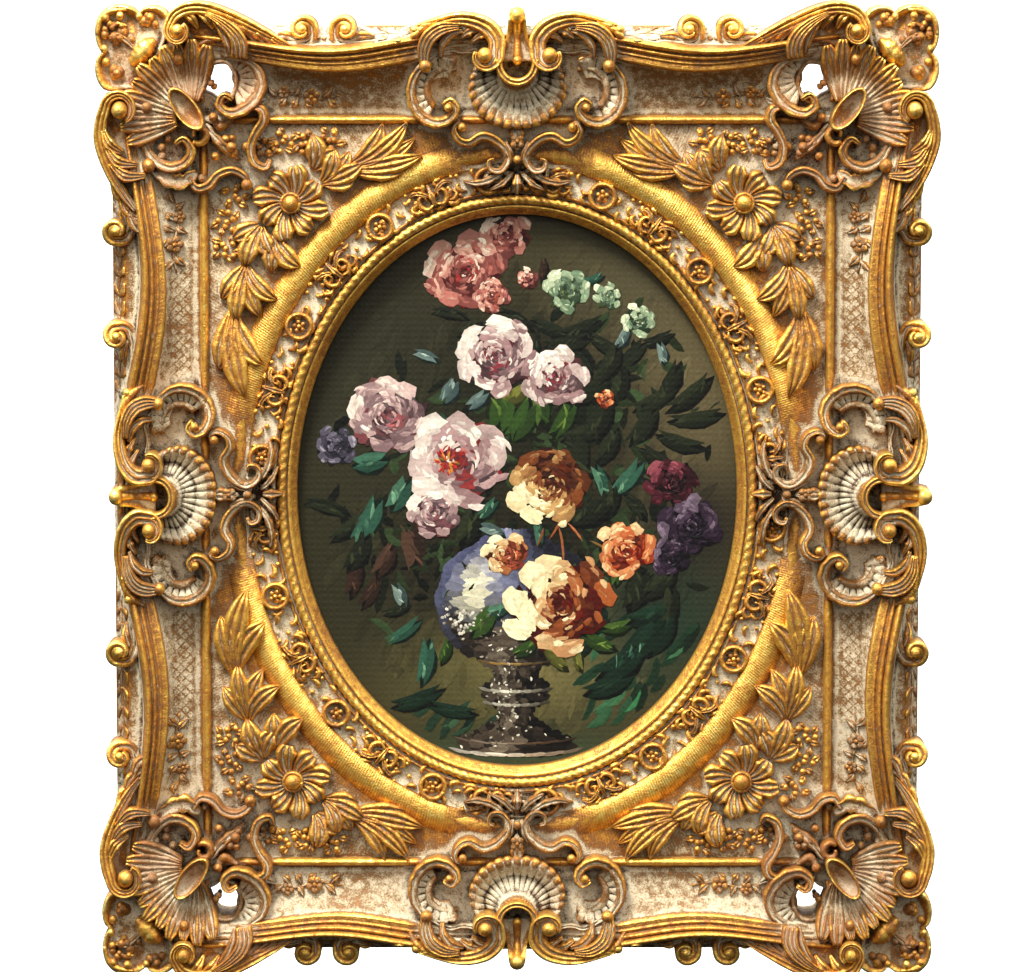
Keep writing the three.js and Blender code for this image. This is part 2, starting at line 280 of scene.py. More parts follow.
def frameBody():
    # The section from the wall, round the front and back into the rebate, carried round the frame.
    beadX, beadZ = moulding["bead"]
    n = moulding["stations"]
    side = np.repeat(np.arange(4), n)[:, None]
    part = np.tile(np.arange(n) / n, 4)[:, None]
    between = np.sin(2 * np.pi * part) ** 2
    ridge = ridgeLine(side % 2 == 1, between)
    dip = dipLine(2 * part - 1, between)

    def onRectangle(halfX, halfZ):
        fromX, fromZ = np.array([-1, 1, 1, -1])[side], np.array([1, 1, -1, -1])[side]
        toX, toZ = np.array([1, 1, -1, -1])[side], np.array([1, -1, -1, 1])[side]
        return halfX * blend(fromX, toX, part), halfZ * blend(fromZ, toZ, part)

    def onOval(e):
        angle = np.radians(135 - 90 * (side + part))
        return (moulding["sight"][0] + e) * np.cos(angle), (moulding["sight"][1] + e) * np.sin(angle)

    # Columns across the rail, close together over the reeds and the bead.
    edge = moulding["outline"][0] - beadX
    strip = np.maximum(edge - 14, ridge + 10.6)
    limits = [(edge + 0 * ridge, strip, 7), (strip, ridge + 10.3, 8), (ridge + 10.3, ridge - 10, 38),
            (ridge - 10, 13, 13)]
    columns = [blend(start, stop, np.arange(count) / count) for start, stop, count in limits]
    beadOut = [13, 11, 9.5, 7, 4.3, 4.2, 3.9, 3.2, 2.2, 1.1, 0, -1.1, -2.2, -3.2, -3.9, -4.2, -4.4]
    columns.append(np.array(beadOut) + 0 * ridge)
    out = np.concatenate(columns, 1)
    railX, railZ = onRectangle(beadX + out, beadZ + out)
    railHeight = railRise(out, ridge, dip, edge)

    share = np.linspace(0, 1, 14)[1:]
    ovalX, ovalZ = onOval(66.0)
    inX, inZ = onRectangle(beadX - 4.4, beadZ - 4.4)
    groundX, groundZ = blend(inX, ovalX, share), blend(inZ, ovalZ, share)
    ring = np.array([62, 55, 50, 46, 34, 21, 14, 8, 1.0])
    ringX, ringZ = onOval(ring)
    lineX, lineZ = onRectangle(*moulding["rebate"])
    outerX, outerZ = onRectangle(*moulding["outline"])
    lipX, lipZ = onOval(1.0)
    rebateRise = moulding["rebateRise"]
    x = np.concatenate([outerX, outerX, railX, groundX, ringX, lipX, lineX, lineX], 1)
    z = np.concatenate([outerZ, outerZ, railZ, groundZ, ringZ, lipZ, lineZ, lineZ], 1)
    flat = np.ones_like(ridge)
    height = np.concatenate([0 * flat, 14 * flat, railHeight, 45 + 0 * groundX, bandRise(ring) * flat,
                             rebateRise * flat, rebateRise * flat, 0 * flat], 1)
    return ringPart(x, z, height)


ovalBand = {
    # Sections, as offsets from the sight and rises.
    "lip": [(0, 24.5), (0, 33), (0.8, 35.5), (2.5, 37), (5, 40), (6.8, 42.5), (8.2, 43), (9, 42)],
    "channel": [(10, 40), (19, 40)],
    "field": [(20, 42.5), (21, 45), (22.2, 45.4), (23, 44), (24, 42.8), (40, 43.5), (45, 45.5)],
    "ridge": [(45, 46), (47, 48.6), (51, 50.4), (55, 51.4), (60, 51.4), (64, 50.2), (68, 48), (71, 45.6),
              (73, 43.5)],
    "under": [(71, 38), (2, 25)],
    "steps": 360,
    "ropeOffset": 14.3, "ropeRise": 43.2, "ropeRadius": 4.6, "strands": 188,
    "rings": 14, "ringOffset": 33.5,  # flowers in rings, along the middle of the field
    "fillers": 280,  # small leaves and buds between them
}


def onSight(e, angle):
    return (moulding["sight"][0] + e) * np.cos(angle), (moulding["sight"][1] + e) * np.sin(angle)


def ridgeFade(angle):
    # The ridge of the band is full on the diagonals and dies out near the axes, under the scrolls.
    return smoothStep(0.22, 0.62, np.abs(np.sin(2 * angle)))


def ovalSkin():
    # The sections of the band, carried round the oval.
    section = sum((ovalBand[key] for key in ("lip", "channel", "field", "ridge", "under")), [])
    e, rise = np.array(section, float).T
    angle = np.linspace(0, 2 * np.pi, ovalBand["steps"], endpoint=False)[:, None]
    rise = np.where(e > 45, np.minimum(rise, blend(43.5, rise, ridgeFade(angle))), rise)
    return ringPart(*onSight(e, angle), rise)


def rope():
    # A round cord, laid in two strands: its radius swells where
    # cos(strands * angle + 2 * turn round the cord) is high.
    count = ovalBand["strands"] * 6
    angle = np.linspace(0, 2 * np.pi, count, endpoint=False)[:, None]
    turn = np.linspace(0, 2 * np.pi, 9, endpoint=False)
    swell = 0.5 + 0.5 * np.cos(ovalBand["strands"] * angle + 2 * turn)
    radius = ovalBand["ropeRadius"] * (0.74 + 0.26 * swell**0.7)
    x, z = onSight(ovalBand["ropeOffset"] + radius * np.cos(turn), angle)
    return ringPart(x, z, ovalBand["ropeRise"] + radius * np.sin(turn))


def turned(x, z, angle, mirror=1):
    # A placing function: local y points out from the sight, local x along it.
    cos, sin = np.cos(angle), np.sin(angle)

    def place(u, v):
        return x + cos * v - sin * mirror * u, z + sin * v + cos * mirror * u
    return place


def ringFlower(place):
    # A ring round a small flower.
    parts = [ribbon(place, spiral((0, 0), (11.2, 11.2), (0, 366), 13), [4.4], 50.5, depth=2.6, steps=30,
            foot=41)]
    for k in range(5):
        petal = spiral((0, 0), (4.2, 4.2), (72 * k, 72 * k + 1), 2)[0]
        parts.append(ball(place, petal, 2.5, 46.2, foot=41, around=8))
    parts.append(ball(place, (0, 0), 2.3, 48.5, foot=41, around=8))
    return parts


def leafCluster(place, seed):
    # Small leafy scrolls and buds between two rings.
    random = np.random.default_rng(seed)
    parts = []
    for side in (-1, 1):
        def half(u, v, side=side):
            return place(side * u, v)
        parts += shapes(half, [
            (ribbon, [(2, -8), (8, -10), (13, -5), (12, 2), (7, 3), (6, -2)], [2, 4.4, 4.6, 4, 3, 2], 50.5,
             dict(depth=2.4, steps=16, foot=41)),
            (ribbon, [(3, 1), (9, 6), (16, 8), (22, 4)], [3, 5.5, 5, 1.4], [50, 51, 49.5, 46],
             dict(reeds=2, depth=1.8, lobes=(4, 0.4), steps=12, foot=41)),
            (ribbon, [(13, -9), (18, -10), (22, -6), (20, -2)], [2, 4.2, 3.6, 1.5], [48, 50, 49.5, 47],
             dict(depth=2, steps=10, foot=41)),
            (ribbon, [(4, 9), (10, 12), (16, 13)], [2, 4.6, 1.2], [48, 50, 46],
             dict(depth=2, steps=8, foot=41)),
        ])
        for spot in ((17, 0), (24, -10), (6, -12), (23, 10)):
            jitter = random.uniform(-1, 1, 2)
            parts.append(ball(half, (spot[0] + jitter[0], spot[1] + jitter[1]), random.uniform(1.6, 2.5),
                    46.5, foot=41, around=8))
    parts.append(ribbon(place, [(0, -10), (0, 0), (0, 12)], [3, 7, 2], [49, 52.5, 47], reeds=2, depth=2,
            lobes=(3, 0.35), steps=12, foot=41))
    return parts


def fieldFiller(random):
    # Small curled leaves and buds all round the field of the band, in between the larger ones.
    parts = []
    for k in range(ovalBand["fillers"]):
        angle = 2 * np.pi * (k + random.uniform(0, 0.8)) / ovalBand["fillers"]
        e = (24.5, 33, 41.5)[k % 3] + random.uniform(-2, 2)
        x, z = onSight(e, angle)
        place = turned(x, z, angle + random.uniform(-0.9, 0.9), 1 if k % 2 else -1)
        size = random.uniform(0.8, 1.25)
        if k % 5 == 0:
            parts.append(ball(place, (0, 0), 2.2 * size, 45.6, foot=41, around=7))
        else:
            points = [(-5 * size, -2), (0, -2.6 * size), (4.5 * size, 0.5), (2.5 * size, 3 * size)]
            parts.append(ribbon(place, points, [1.4, 4.2 * size, 3.8 * size, 1.6], [45, 48.5, 49, 46.5],
                    depth=1.6, steps=6, foot=41))
    return parts


def ovalOrnament():
    parts = fieldFiller(np.random.default_rng(5))
    count = ovalBand["rings"]
    for k in range(2 * count):
        angle = np.pi * (k + 0.5) / count
        x, z = onSight(ovalBand["ringOffset"], angle)
        normal = np.arctan2(z / (moulding["sight"][1] + 33) ** 2, x / (moulding["sight"][0] + 33) ** 2)
        place = turned(x, z, normal)
        parts += ringFlower(place) if k % 2 else leafCluster(place, k)
    return parts


def eyeScroll(place, eye, ringRadius, angles, path, width, rise, eyeRadius, **shape):
    # A scroll that rolls up round a ball: a spiral, then the given path.
    points = spiral(eye, (ringRadius * 0.72, ringRadius), angles, 10) + list(path)
    return [ribbon(place, points, width, rise, **shape), ball(place, eye, eyeRadius, rise[0] - 3, foot=40,
            around=18)]


def petalFlower(place, centre, radius, petals, rise, foot=40, over=False):
    parts = []
    for k in range(petals):
        angle = 2 * np.pi * (k + 0.5) / petals
        spot = (centre[0] + 0.55 * radius * np.cos(angle), centre[1] + 0.55 * radius * np.sin(angle))
        parts.append(ball(place, spot, radius * 0.42, rise, foot=foot, over=over, around=10, squash=0.7))
    parts.append(ball(place, centre, radius * 0.26, rise + radius * 0.22, foot=foot, over=over, around=8))
    return parts


def centreCartouche(placeAlong):
    # Drawn for the top rail: u along the rail, v out from the bead.
    parts = shapes(placeAlong, [
        (ribbon, [(0, 101), (0, 92), (0, 80), (0, 66), (0, 54)], [13, 17, 19, 26, 30], [70, 76, 70, 68, 66],
         dict(depth=-5, steps=22)),
        (ribbon, [(0, 97), (0, 88), (0, 74), (0, 58)], [9, 9, 7, 8], [80, 78, 73, 76],
         dict(depth=4, steps=16)),
        (ball, (0, 96), 8, 77, dict(foot=50)),
        (ball, (0, 55), 4.5, 75, dict(foot=50)),
        (ribbon, spiral((0, 53), (17.5, 17.5), (170, 370), 13), [7], 88,
         dict(reeds=2, depth=3.4, steps=34, foot=50)),
        (shell, (0, 48), [(16, 80), (24, 66), (36, 61), (49, 70), (54, 69)], (166, 374), 21, 2.6, 1.4,
         dict(reach=(0.64, 0.80, 0.95, 1.01, 1.02, 1.0, 1.02, 1.01, 0.95, 0.80, 0.64))),
        (ribbon, [(0, -4), (0, -12), (0, -20), (0, -28)], [8, 15, 12, 3], [62, 64, 64, 60],
         dict(reeds=3, lobes=(2, 0.3))),
        (ball, (0, -36), 4.2, 60),
        (ribbon, [(0, -50), (0, -58), (0, -68)], [4, 10, 2], [56, 60, 55], dict(reeds=2)),
    ])
    parts += petalFlower(placeAlong, (0, -19), 8, 4, 62)
    for sign in (-1, 1):
        def place(u, v, sign=sign):
            return placeAlong(sign * u, v)
        # The C-scroll, rolled round its ball, and its leafy end.
        parts += eyeScroll(place, (31, 60), 11.5, (20, -195),
                           [(20, 74), (29, 85), (44, 91), (60, 92), (78, 88), (95, 84)],
                           [5, 7, 8, 9, 9, 10, 11, 13, 15, 16, 17, 16, 14, 12, 11, 8],
                           [90, 90, 89, 88, 86, 84, 80, 76], 7.4, reeds=3, depth=3, tilt=2.5, steps=56)
        parts += shapes(place, [
            (ribbon, [(56, 86), (72, 84), (84, 76), (89, 64), (89, 49)], [6, 13, 15, 14, 8],
             [82, 84, 83, 80, 76], dict(reeds=4, depth=2.8, steps=26)),
            (ball, (88, 50), 6.4, 74, dict(foot=44, squash=0.9)),
            (shell, (72, 26), [(12, 57), (19, 59), (27, 65), (31, 66)], (-62, 118), 10, 2.6, 2.2),
            (ribbon, [(52, 82), (64, 78), (72, 68), (73, 57)], [4, 9, 8, 4], [76, 79, 78, 73],
             dict(reeds=2, depth=2.5)),
            (ribbon, [(36, 83), (46, 81), (55, 75)], [5, 9, 3], [74, 78, 74],
             dict(reeds=2, lobes=(3, 0.3), steps=14)),
            (ribbon, [(24, 76), (34, 78), (44, 72)], [4, 7, 3], [76, 78, 74], dict(reeds=2, steps=12)),
        ])
        for k in range(3):
            points = [(76 + 5 * k, 90 - 2 * k), (90 + 4 * k, 86 - 4 * k), (101 + 2 * k, 80 - 7 * k)]
            parts.append(ribbon(place, points, [4, 7, 3], [78, 79, 72], steps=10))
        parts += shapes(place, [
            (ball, (98, 83), 5, 74),
            # The ear: a ruffled rim that rolls into a volute, round a smooth dish.
            (ribbon, [(38, 64), (52, 62), (66, 64), (80, 56), (94, 46), (101, 32), (100, 16), (92, 4),
             (79, -2), (66, 1), (59, 10), (64, 18), (71, 14)], [4, 5, 6, 6, 8, 10, 11, 11, 11, 10, 9, 7, 5],
             [64, 64, 64, 66, 68, 68, 67, 66, 68, 71, 73, 74, 73],
             dict(reeds=2, depth=2.4, tilt=1.5, lobes=(17, 0.16), steps=84)),
            (ribbon, [(58, 46), (72, 47), (84, 38), (86, 24), (80, 12)], [4, 6, 7, 7, 5],
             [60, 61, 62, 62, 61], dict(depth=2.2, steps=26)),
            (ball, (66, 12), 4, 72),
            # The S-scroll under the shell.
            (ribbon, [(50, -6), (57, -2), (61, -9), (56, -18), (46, -21), (34, -15), (22, -18), (12, -27),
             (9, -37), (16, -46), (25, -45), (27, -38), (22, -36)], [3, 4, 6, 7, 8, 9, 9, 8, 7, 6, 5, 4, 3],
             [66, 67, 67, 66, 65, 64, 63, 62, 61, 60, 60, 60, 59],
             dict(reeds=2, depth=2.0, tilt=-2.0, steps=70)),
            (ball, (53, -6), 4.4, 66),
            (ribbon, [(12, -20), (8, -30), (4, -40)], [6, 9, 3], [60, 62, 57], dict(reeds=3, steps=12)),
            (ribbon, [(14, -48), (26, -55), (40, -58), (52, -56)], [5, 8, 7, 2], [55, 57, 56, 52],
             dict(reeds=2, lobes=(4, 0.35), steps=16)),
            (ribbon, [(4, -48), (14, -58), (26, -64)], [4, 7, 2], [55, 58, 54],
             dict(reeds=2, lobes=(3, 0.3), steps=12)),
        ])
    return parts


cornerPull = 0.10


def lobe(start, end, bulge, count):
    # Points that bulge out to the left of the straight line between two notches.
    start, end = np.array(start, float), np.array(end, float)
    t = np.arange(count)[:, None] / count
    along = end - start
    normal = np.array([along[1], -along[0]]) / np.hypot(*along)
    reach = bulge * (4 * t * (1 - t)) ** 0.6
    return list(map(tuple, start + along * t + normal * -reach))


def cornerCartouche(placeWide):
    # Drawn for the upper left corner. Beyond x = -300 it is drawn in a little.
    def place(x, z):
        return placeWide(x + cornerPull * np.maximum(0, -300 - np.asarray(x)), z)
    rim = (lobe((-318, 437), (-349, 442), -9, 14) + lobe((-349, 442), (-388, 405), -27, 34)
           + lobe((-388, 405), (-381, 370), -10, 14) + [(-381, 370), (-352, 372), (-334, 396), (-322, 418)])
    disc = [(-302 + 24 * np.cos(t) * 0.64 - 10.5 * np.sin(t) * 0.77,
             355 - 24 * np.cos(t) * 0.77 - 10.5 * np.sin(t) * 0.64)
            for t in np.linspace(0, 2 * np.pi, 36, endpoint=False)]
    parts = shapes(place, [
        (plate, rim, (-352, 404), [(0.2, 57), (0.55, 54), (0.76, 51), (0.86, 55), (0.94, 60), (0.985, 58),
         (1, 52), (1, 36), (0.95, 22)]),
        (plate, [(-322, 438), (-302, 446), (-280, 446), (-262, 440), (-240, 428), (-212, 412), (-214, 398),
         (-322, 398)], (-268, 420), [(0.3, 62), (0.8, 60), (0.95, 56), (1, 50), (1, 20)]),
        (plate, [(-384, 368), (-391, 348), (-390, 326), (-385, 308), (-376, 290), (-362, 270), (-346, 262),
         (-346, 372)], (-368, 320), [(0.3, 62), (0.8, 60), (0.95, 56), (1, 50), (1, 20)]),
        (plate, disc, (-302, 355),
         [(0.15, 70), (0.5, 71), (0.78, 75), (0.9, 80), (0.97, 80), (1, 77), (1, 45)]),
        (ribbon, [(-358, 395), (-350, 402), (-341, 411), (-333, 417)], [8, 19, 19, 6], [66, 72, 72, 66],
         dict(depth=5, lobes=(6, 0.25), steps=30)),
    ])
    # The shell: leaves that fan out from a hinge and curl up at their tips.
    for k in range(11):
        angle = np.radians(78 + 12 * k)
        reach = 68 + 4 * (k % 2)
        points = [(-296 + r * np.cos(angle), 346 + r * np.sin(angle))
                for r in (16, 0.5 * reach, 0.8 * reach, reach)]
        parts.append(ribbon(place, points, [6, 15, 19, 9], [66, 62 + 2 * (k % 2), 72 + 2 * (k % 2), 76],
                reeds=3, depth=3.4, lobes=(3, 0.12), steps=16))
    random = np.random.default_rng(3)
    for x, z, reachX, reachZ, count in ((-374, 428, 12, 12, 9), (-345, 436, 10, 5, 4),
            (-376, 392, 6, 12, 4), (-284, 372, 8, 10, 3), (-332, 322, 12, 12, 6), (-258, 322, 14, 10, 6)):
        for spot in random.uniform(-1, 1, (count, 2)) * (reachX, reachZ) + (x, z):
            parts.append(ball(place, spot, random.uniform(3, 5.2), random.uniform(54, 59), around=9))
    for x, z, radius, rise in ((-383, 437, 4.2, 58), (-385, 409, 4, 58), (-383, 397, 4.4, 56),
            (-366, 424, 6, 55), (-372, 415, 4, 55), (-345, 434, 5, 56), (-333, 431, 4, 56),
            (-357, 417, 4, 57), (-370, 388, 6, 53), (-309, 400, 5.5, 70), (-342, 356, 6, 66),
            (-260, 328, 3.4, 58), (-276, 311, 4.2, 58), (-289, 291, 3.6, 56), (-277, 347, 4.4, 64),
            (-340, 303, 7, 68)):
        parts.append(ball(place, (x, z), radius, rise))
    parts += shapes(place, [
        (ribbon, [(-392, 422), (-388, 436), (-378, 443), (-362, 445)], [3, 6, 6, 3], 61, dict(depth=2)),
        (ribbon, [(-377, 428), (-370, 432), (-362, 430)], [3, 5, 2], 60, dict(depth=2, steps=10)),
        (ribbon, [(-380, 419), (-371, 421), (-362, 416), (-354, 409)], [3, 6, 6, 3], 61, dict(reeds=2)),
    ])

    # The scroll along the top and the leaves that spring from it.
    parts += eyeScroll(place, (-309, 426), 10.6, (50, -225),
            [(-311, 441), (-299, 446), (-283, 446), (-265, 440), (-246, 431), (-226, 421), (-206, 411)],
            [5, 6, 6, 7, 7, 7, 7, 8, 9, 10, 11, 12, 12, 12, 12, 9, 4], [86, 86, 86, 86, 86, 84, 82, 78, 73],
            6.6, reeds=3, depth=2.6, tilt=2, steps=60)
    parts += shapes(place, [
        (ribbon, [(-282, 442), (-268, 434), (-257, 424), (-252, 413), (-253, 401)], [4, 9, 13, 16, 15],
         [82, 84, 84, 82, 78], dict(reeds=4, depth=2.6, steps=24)),
        (ribbon, [(-276, 436), (-268, 425), (-263, 413), (-262, 404)], [4, 7, 7, 3], [77, 79, 78, 73],
         dict(reeds=2)),
    ])
    for k in range(2):
        parts.append(ribbon(place, [(-303 + 13 * k, 443), (-295 + 13 * k, 437), (-290 + 14 * k, 428)],
                [5, 8, 3], [78, 80, 74], reeds=2, steps=12))
    for k in range(4):
        root = (-262 + 13 * k, 437 - 6 * k)
        parts.append(ribbon(place, [root, (root[0] + 14, root[1] - 9), (root[0] + 25, root[1] - 22)],
                [5, 9, 3], [78 - k, 77 - 2 * k, 68 - 2 * k], reeds=2, steps=12))

    # The scroll down the side.
    parts += eyeScroll(place, (-368, 354), 15.5, (-60, 178),
            [(-387, 343), (-388, 327), (-383, 310), (-375, 293), (-364, 276), (-353, 262)],
            [5, 7, 8, 8, 8, 8, 9, 10, 11, 12, 13, 13, 12, 10, 5], [84, 84, 84, 84, 84, 83, 81, 78, 72], 8.4,
            reeds=3, depth=2.6, tilt=-2, steps=60)
    for points in ([(-385, 336), (-379, 323), (-366, 315)], [(-383, 322), (-371, 307), (-352, 304)],
                   [(-378, 306), (-363, 294), (-343, 294)]):
        parts.append(ribbon(place, points, [5, 12, 5], [80, 82, 76], reeds=3, depth=2.4, steps=18))
    for k in range(3):
        root = (-377 + 8 * k, 290 - 14 * k)
        parts.append(ribbon(place, [root, (root[0] + 6, root[1] - 14), (root[0] + 19, root[1] - 22)],
                [5, 10, 3], [74 - k, 74 - k, 70 - k], reeds=2, steps=12))

    # The two ears, with their volutes.
    parts += shapes(place, [
        (ribbon, [(-252, 402), (-238, 392), (-233, 377), (-239, 363), (-250, 354), (-262, 351), (-271, 358),
         (-267, 367), (-259, 363)], [5, 9, 11, 12, 12, 10, 8, 6, 4], [66, 67, 67, 68, 70, 72, 73, 73, 72],
         dict(reeds=2, depth=2.4, tilt=1.5, lobes=(9, 0.14), steps=50)),
        (ribbon, [(-291, 412), (-280, 417), (-266, 416), (-256, 408)], [3, 6, 6, 3], [66, 68, 68, 66],
         dict(steps=18, lobes=(4, 0.3))),
        (ribbon, [(-359, 341), (-346, 325), (-336, 309), (-320, 301), (-304, 305), (-297, 316), (-304, 327),
         (-313, 323)], [6, 8, 10, 11, 10, 9, 7, 4], [66, 66, 66, 68, 70, 72, 73, 72],
         dict(reeds=2, depth=2.4, tilt=-1.5, lobes=(9, 0.14), steps=50)),
        (ribbon, spiral((-290, 331), (4.5, 8.5), (200, -130), 9), [3, 5, 6, 5], 71,
         dict(depth=2.4, steps=26)),
        (ribbon, [(-338, 301), (-322, 291), (-307, 288), (-293, 296)], [7, 16, 16, 8], [60, 64, 64, 60],
         dict(depth=-3, lobes=(4, 0.3), steps=30)),
        (shell, (-262, 382), [(9, 56), (16, 58), (24, 65), (28, 65)], (-75, 75), 8, 2.8, 2.0),
        # The S-scrolls towards the spandrel.
        (ribbon, [(-244, 358), (-233, 354), (-231, 344), (-238, 333), (-243, 320), (-240, 306), (-230, 301),
         (-226, 308)], [5, 9, 9, 8, 8, 8, 7, 4], [67, 68, 67, 66, 65, 64, 62, 59],
         dict(reeds=2, depth=2.2, tilt=-1.5, steps=44)),
        (ribbon, [(-300, 292), (-293, 282), (-282, 284), (-273, 294), (-261, 298), (-250, 293),
         (-246, 284)], [5, 8, 9, 8, 8, 7, 5], [64, 65, 65, 64, 63, 62, 60],
         dict(reeds=2, depth=2.2, tilt=1.5, steps=40)),
        (ball, (-247, 285), 5.4, 59),
        (ribbon, [(-278, 346), (-271, 338), (-259, 345)], [4, 8, 3], [62, 64, 60],
         dict(depth=2.4, steps=14)),
        (ribbon, [(-285, 340), (-270, 322), (-254, 308)], [5, 11, 3], [60, 63, 56],
         dict(reeds=2, lobes=(4, 0.35), steps=22)),
        (ribbon, [(-287, 361), (-290, 379), (-281, 394), (-264, 396), (-256, 380), (-262, 364),
         (-276, 358)], [4], 60, dict(depth=2, steps=36, lobes=(8, 0.2))),
    ])
    return parts


spandrelPlan = {
    "rosette": (-207.5, 268),
    "petals": 8,
    "petalReach": 33,
    # Each spray: root, direction and fan in degrees, number of leaves, length and width.
    "sprays": [
        (-188, 298, 54, 34, 2, 42, 20), (-180, 286, 26, 50, 4, 44, 18), (-158, 299, 13, 36, 5, 76, 18),
        (-234, 248, -122, 66, 3, 42, 20), (-222, 240, -84, 26, 2, 50, 20), (-248, 212, -98, 60, 4, 56, 18),
        (-260, 172, -93, 24, 3, 84, 23),
    ],
    "clusters": [(-236, 319), (-193, 322), (-266, 250), (-258, 274), (-172, 325), (-214, 324), (-267, 226)],
}


def leafSpray(place, x, z, direction, fan, count, length, width):
    # Leaves that fan out from one root, the middle ones the longest, with reeds along each.
    parts = []
    for k in range(count):
        share = k / (count - 1) - 0.5
        angle = np.radians(direction + fan * share)
        reach = length * (1 - 0.9 * share**2) * (1 if k % 2 else 0.92)
        turn = 0.5 * share + 0.3
        points = [(x + r * reach * np.cos(angle + turn * (r - 0.4)),
                z + r * reach * np.sin(angle + turn * (r - 0.4))) for r in (0.05, 0.35, 0.65, 0.86, 1)]
        widths = np.array([0.35, 0.85, 1, 0.6, 0.08]) * width
        lift = 1.6 * (k % 2)
        parts.append(ribbon(place, points, widths, [5 + lift, 9 + lift, 11 + lift, 10 + lift, 5], reeds=3,
                depth=2.8, steps=16, over=True))
    return parts


def spandrel(place):
    # Drawn for the upper left spandrel.
    cx, cz = spandrelPlan["rosette"]
    parts = []
    for k in range(spandrelPlan["petals"]):
        angle = 2 * np.pi * k / spandrelPlan["petals"] + 0.2
        reach = spandrelPlan["petalReach"] * (1.04 if k % 2 else 0.94)
        points = [(cx + r * reach * np.cos(angle + 0.45 * r), cz + r * reach * np.sin(angle + 0.45 * r))
                for r in (0.15, 0.5, 0.8, 1)]
        parts.append(ribbon(place, points, [5, 14, 21, 12], [5, 9.5, 13, 9 + 3 * (k % 2)], reeds=3,
                depth=3.8, steps=14, over=True))
    parts += shapes(place, [
        (ball, (cx, cz), 7.5, 11, dict(over=True, around=18, squash=0.8)),
        (ribbon, spiral((cx, cz), (8.6, 8.6), (0, 364), 11), [3], 12.5,
         dict(depth=1.4, steps=26, over=True)),
    ])
    for spray in spandrelPlan["sprays"]:
        parts += leafSpray(place, *spray)
    for k, (x, z) in enumerate(spandrelPlan["clusters"]):
        for n in range(6):
            angle = 2.4 * n + k
            reach = 4.6 * np.sqrt(n)
            parts.append(ball(place, (x + reach * np.cos(angle), z + 0.9 * reach * np.sin(angle)), 3.2, 3.4,
                    over=True, around=8))
        for n in range(5):
            angle = 1.35 * n + 2 * k
            inner = (x + 7 * np.cos(angle), z + 7 * np.sin(angle))
            outer = (x + 16 * np.cos(angle + 0.4), z + 14 * np.sin(angle + 0.4))
            parts.append(ribbon(place, [inner, outer], [4, 7, 1.4], [4, 6, 3], reeds=2, depth=1.6, steps=6,
                    over=True))
    return parts


def sprig(place):
    # A flowering sprig on the cove: v is along the rail, towards the corner.
    parts = [ribbon(place, [(0, -34), (3, -12), (-2, 12), (2, 34)], [1.6, 2.4, 2.4, 1.4], 2.6, depth=1,
            steps=22, over=True)]
    for u, v, tipU, tipV in ((1, -22, 10, -32), (1, -18, -8, -28), (2, -2, 11, -10), (0, 8, -10, 2),
                             (0, 14, 9, 22), (0, 22, -8, 31), (2, 30, 6, 42), (1, 4, 11, 10)):
        middle = ((u + tipU) / 2 + 1.5, (v + tipV) / 2)
        parts.append(ribbon(place, [(u, v), middle, (tipU, tipV)], [2, 7.6, 1], [2.5, 5.6, 2.4], reeds=2,
                depth=1.8, steps=8, over=True))
    parts += petalFlower(place, (1, -8), 8.5, 5, 3.6, over=True)
    parts += petalFlower(place, (-3, 17), 6.5, 5, 3.2, over=True)
    return parts


def curlKnob(place):
    # A leaf that curls over the edge of the rail. Local v points out, and its tail runs along u.
    return shapes(place, [
        (ribbon, spiral((0, 0), (3.5, 9), (-150, 170), 9) + [(-8, -9), (2, -14), (16, -15), (30, -12)],
         [5, 8, 9, 9, 10, 11, 10, 8, 3], [66, 68, 66, 63, 60, 58, 56],
         dict(reeds=2, depth=2.4, steps=44, foot=20)),
        (ball, (0, 0), 4.6, 64, dict(foot=24)),
        (ball, (-2, 5), 8.5, 52, dict(foot=16, around=14, squash=0.8)),
        (ribbon, [(4, -10), (16, -6), (27, -7)], [4, 8, 2], [56, 58, 52], dict(reeds=2, steps=12, foot=20)),
    ])


def leafStrip(place, length, seed):
    # A running leaf along the sloping outer edge, in pairs of curled leaflets on a wavy stem.
    random = np.random.default_rng(seed)
    count = max(3, int(length / 15))
    step = length / count
    along = [(u, 1.4 * np.sin(1.3 * k)) for k, u in enumerate(np.linspace(0, length, count + 1))]
    parts = [ribbon(place, along, [3], 2.4, depth=1.2, steps=3 * count, over=True)]
    for k in range(count):
        u = (k + 0.3) * step
        for side in (-1, 1):
            tip = (u + step * random.uniform(0.5, 0.8), side * random.uniform(4, 5.4))
            points = [(u, 0), (u + 0.25 * step, side * 3.6), tip]
            parts.append(ribbon(place, points, [2.4, 5.2, 1.4], [2.4, 4, 2], depth=1.6, steps=6, over=True))
    return parts


quarters = [(-1, 1), (-1, -1), (1, 1), (1, -1)]  # the side and the end of each quarter of the frame

railPlan = [
    # On the end rails, then on the side rails: places along the rail from its middle, and out.
    {"sprig": (196, 366, -1), "knobs": ((196, 1), (157, -1)), "knobsOut": 427,
     "strips": ((100, 142), (168, 184), (208, 246))},
    {"sprig": (238, 312, 1), "knobs": ((243, 1), (146, -1)), "knobsOut": 367,
     "strips": ((88, 132), (158, 230), (256, 284))},
]


def onRail(signs, side, along, out, turn=1):
    # A placing function in one quarter of the frame: local u runs along the rail, local v out of it.
    def place(u, v):
        a, b = along + turn * u, out + v
        return (signs[0] * b, signs[1] * a) if side else (signs[0] * a, signs[1] * b)
    return place


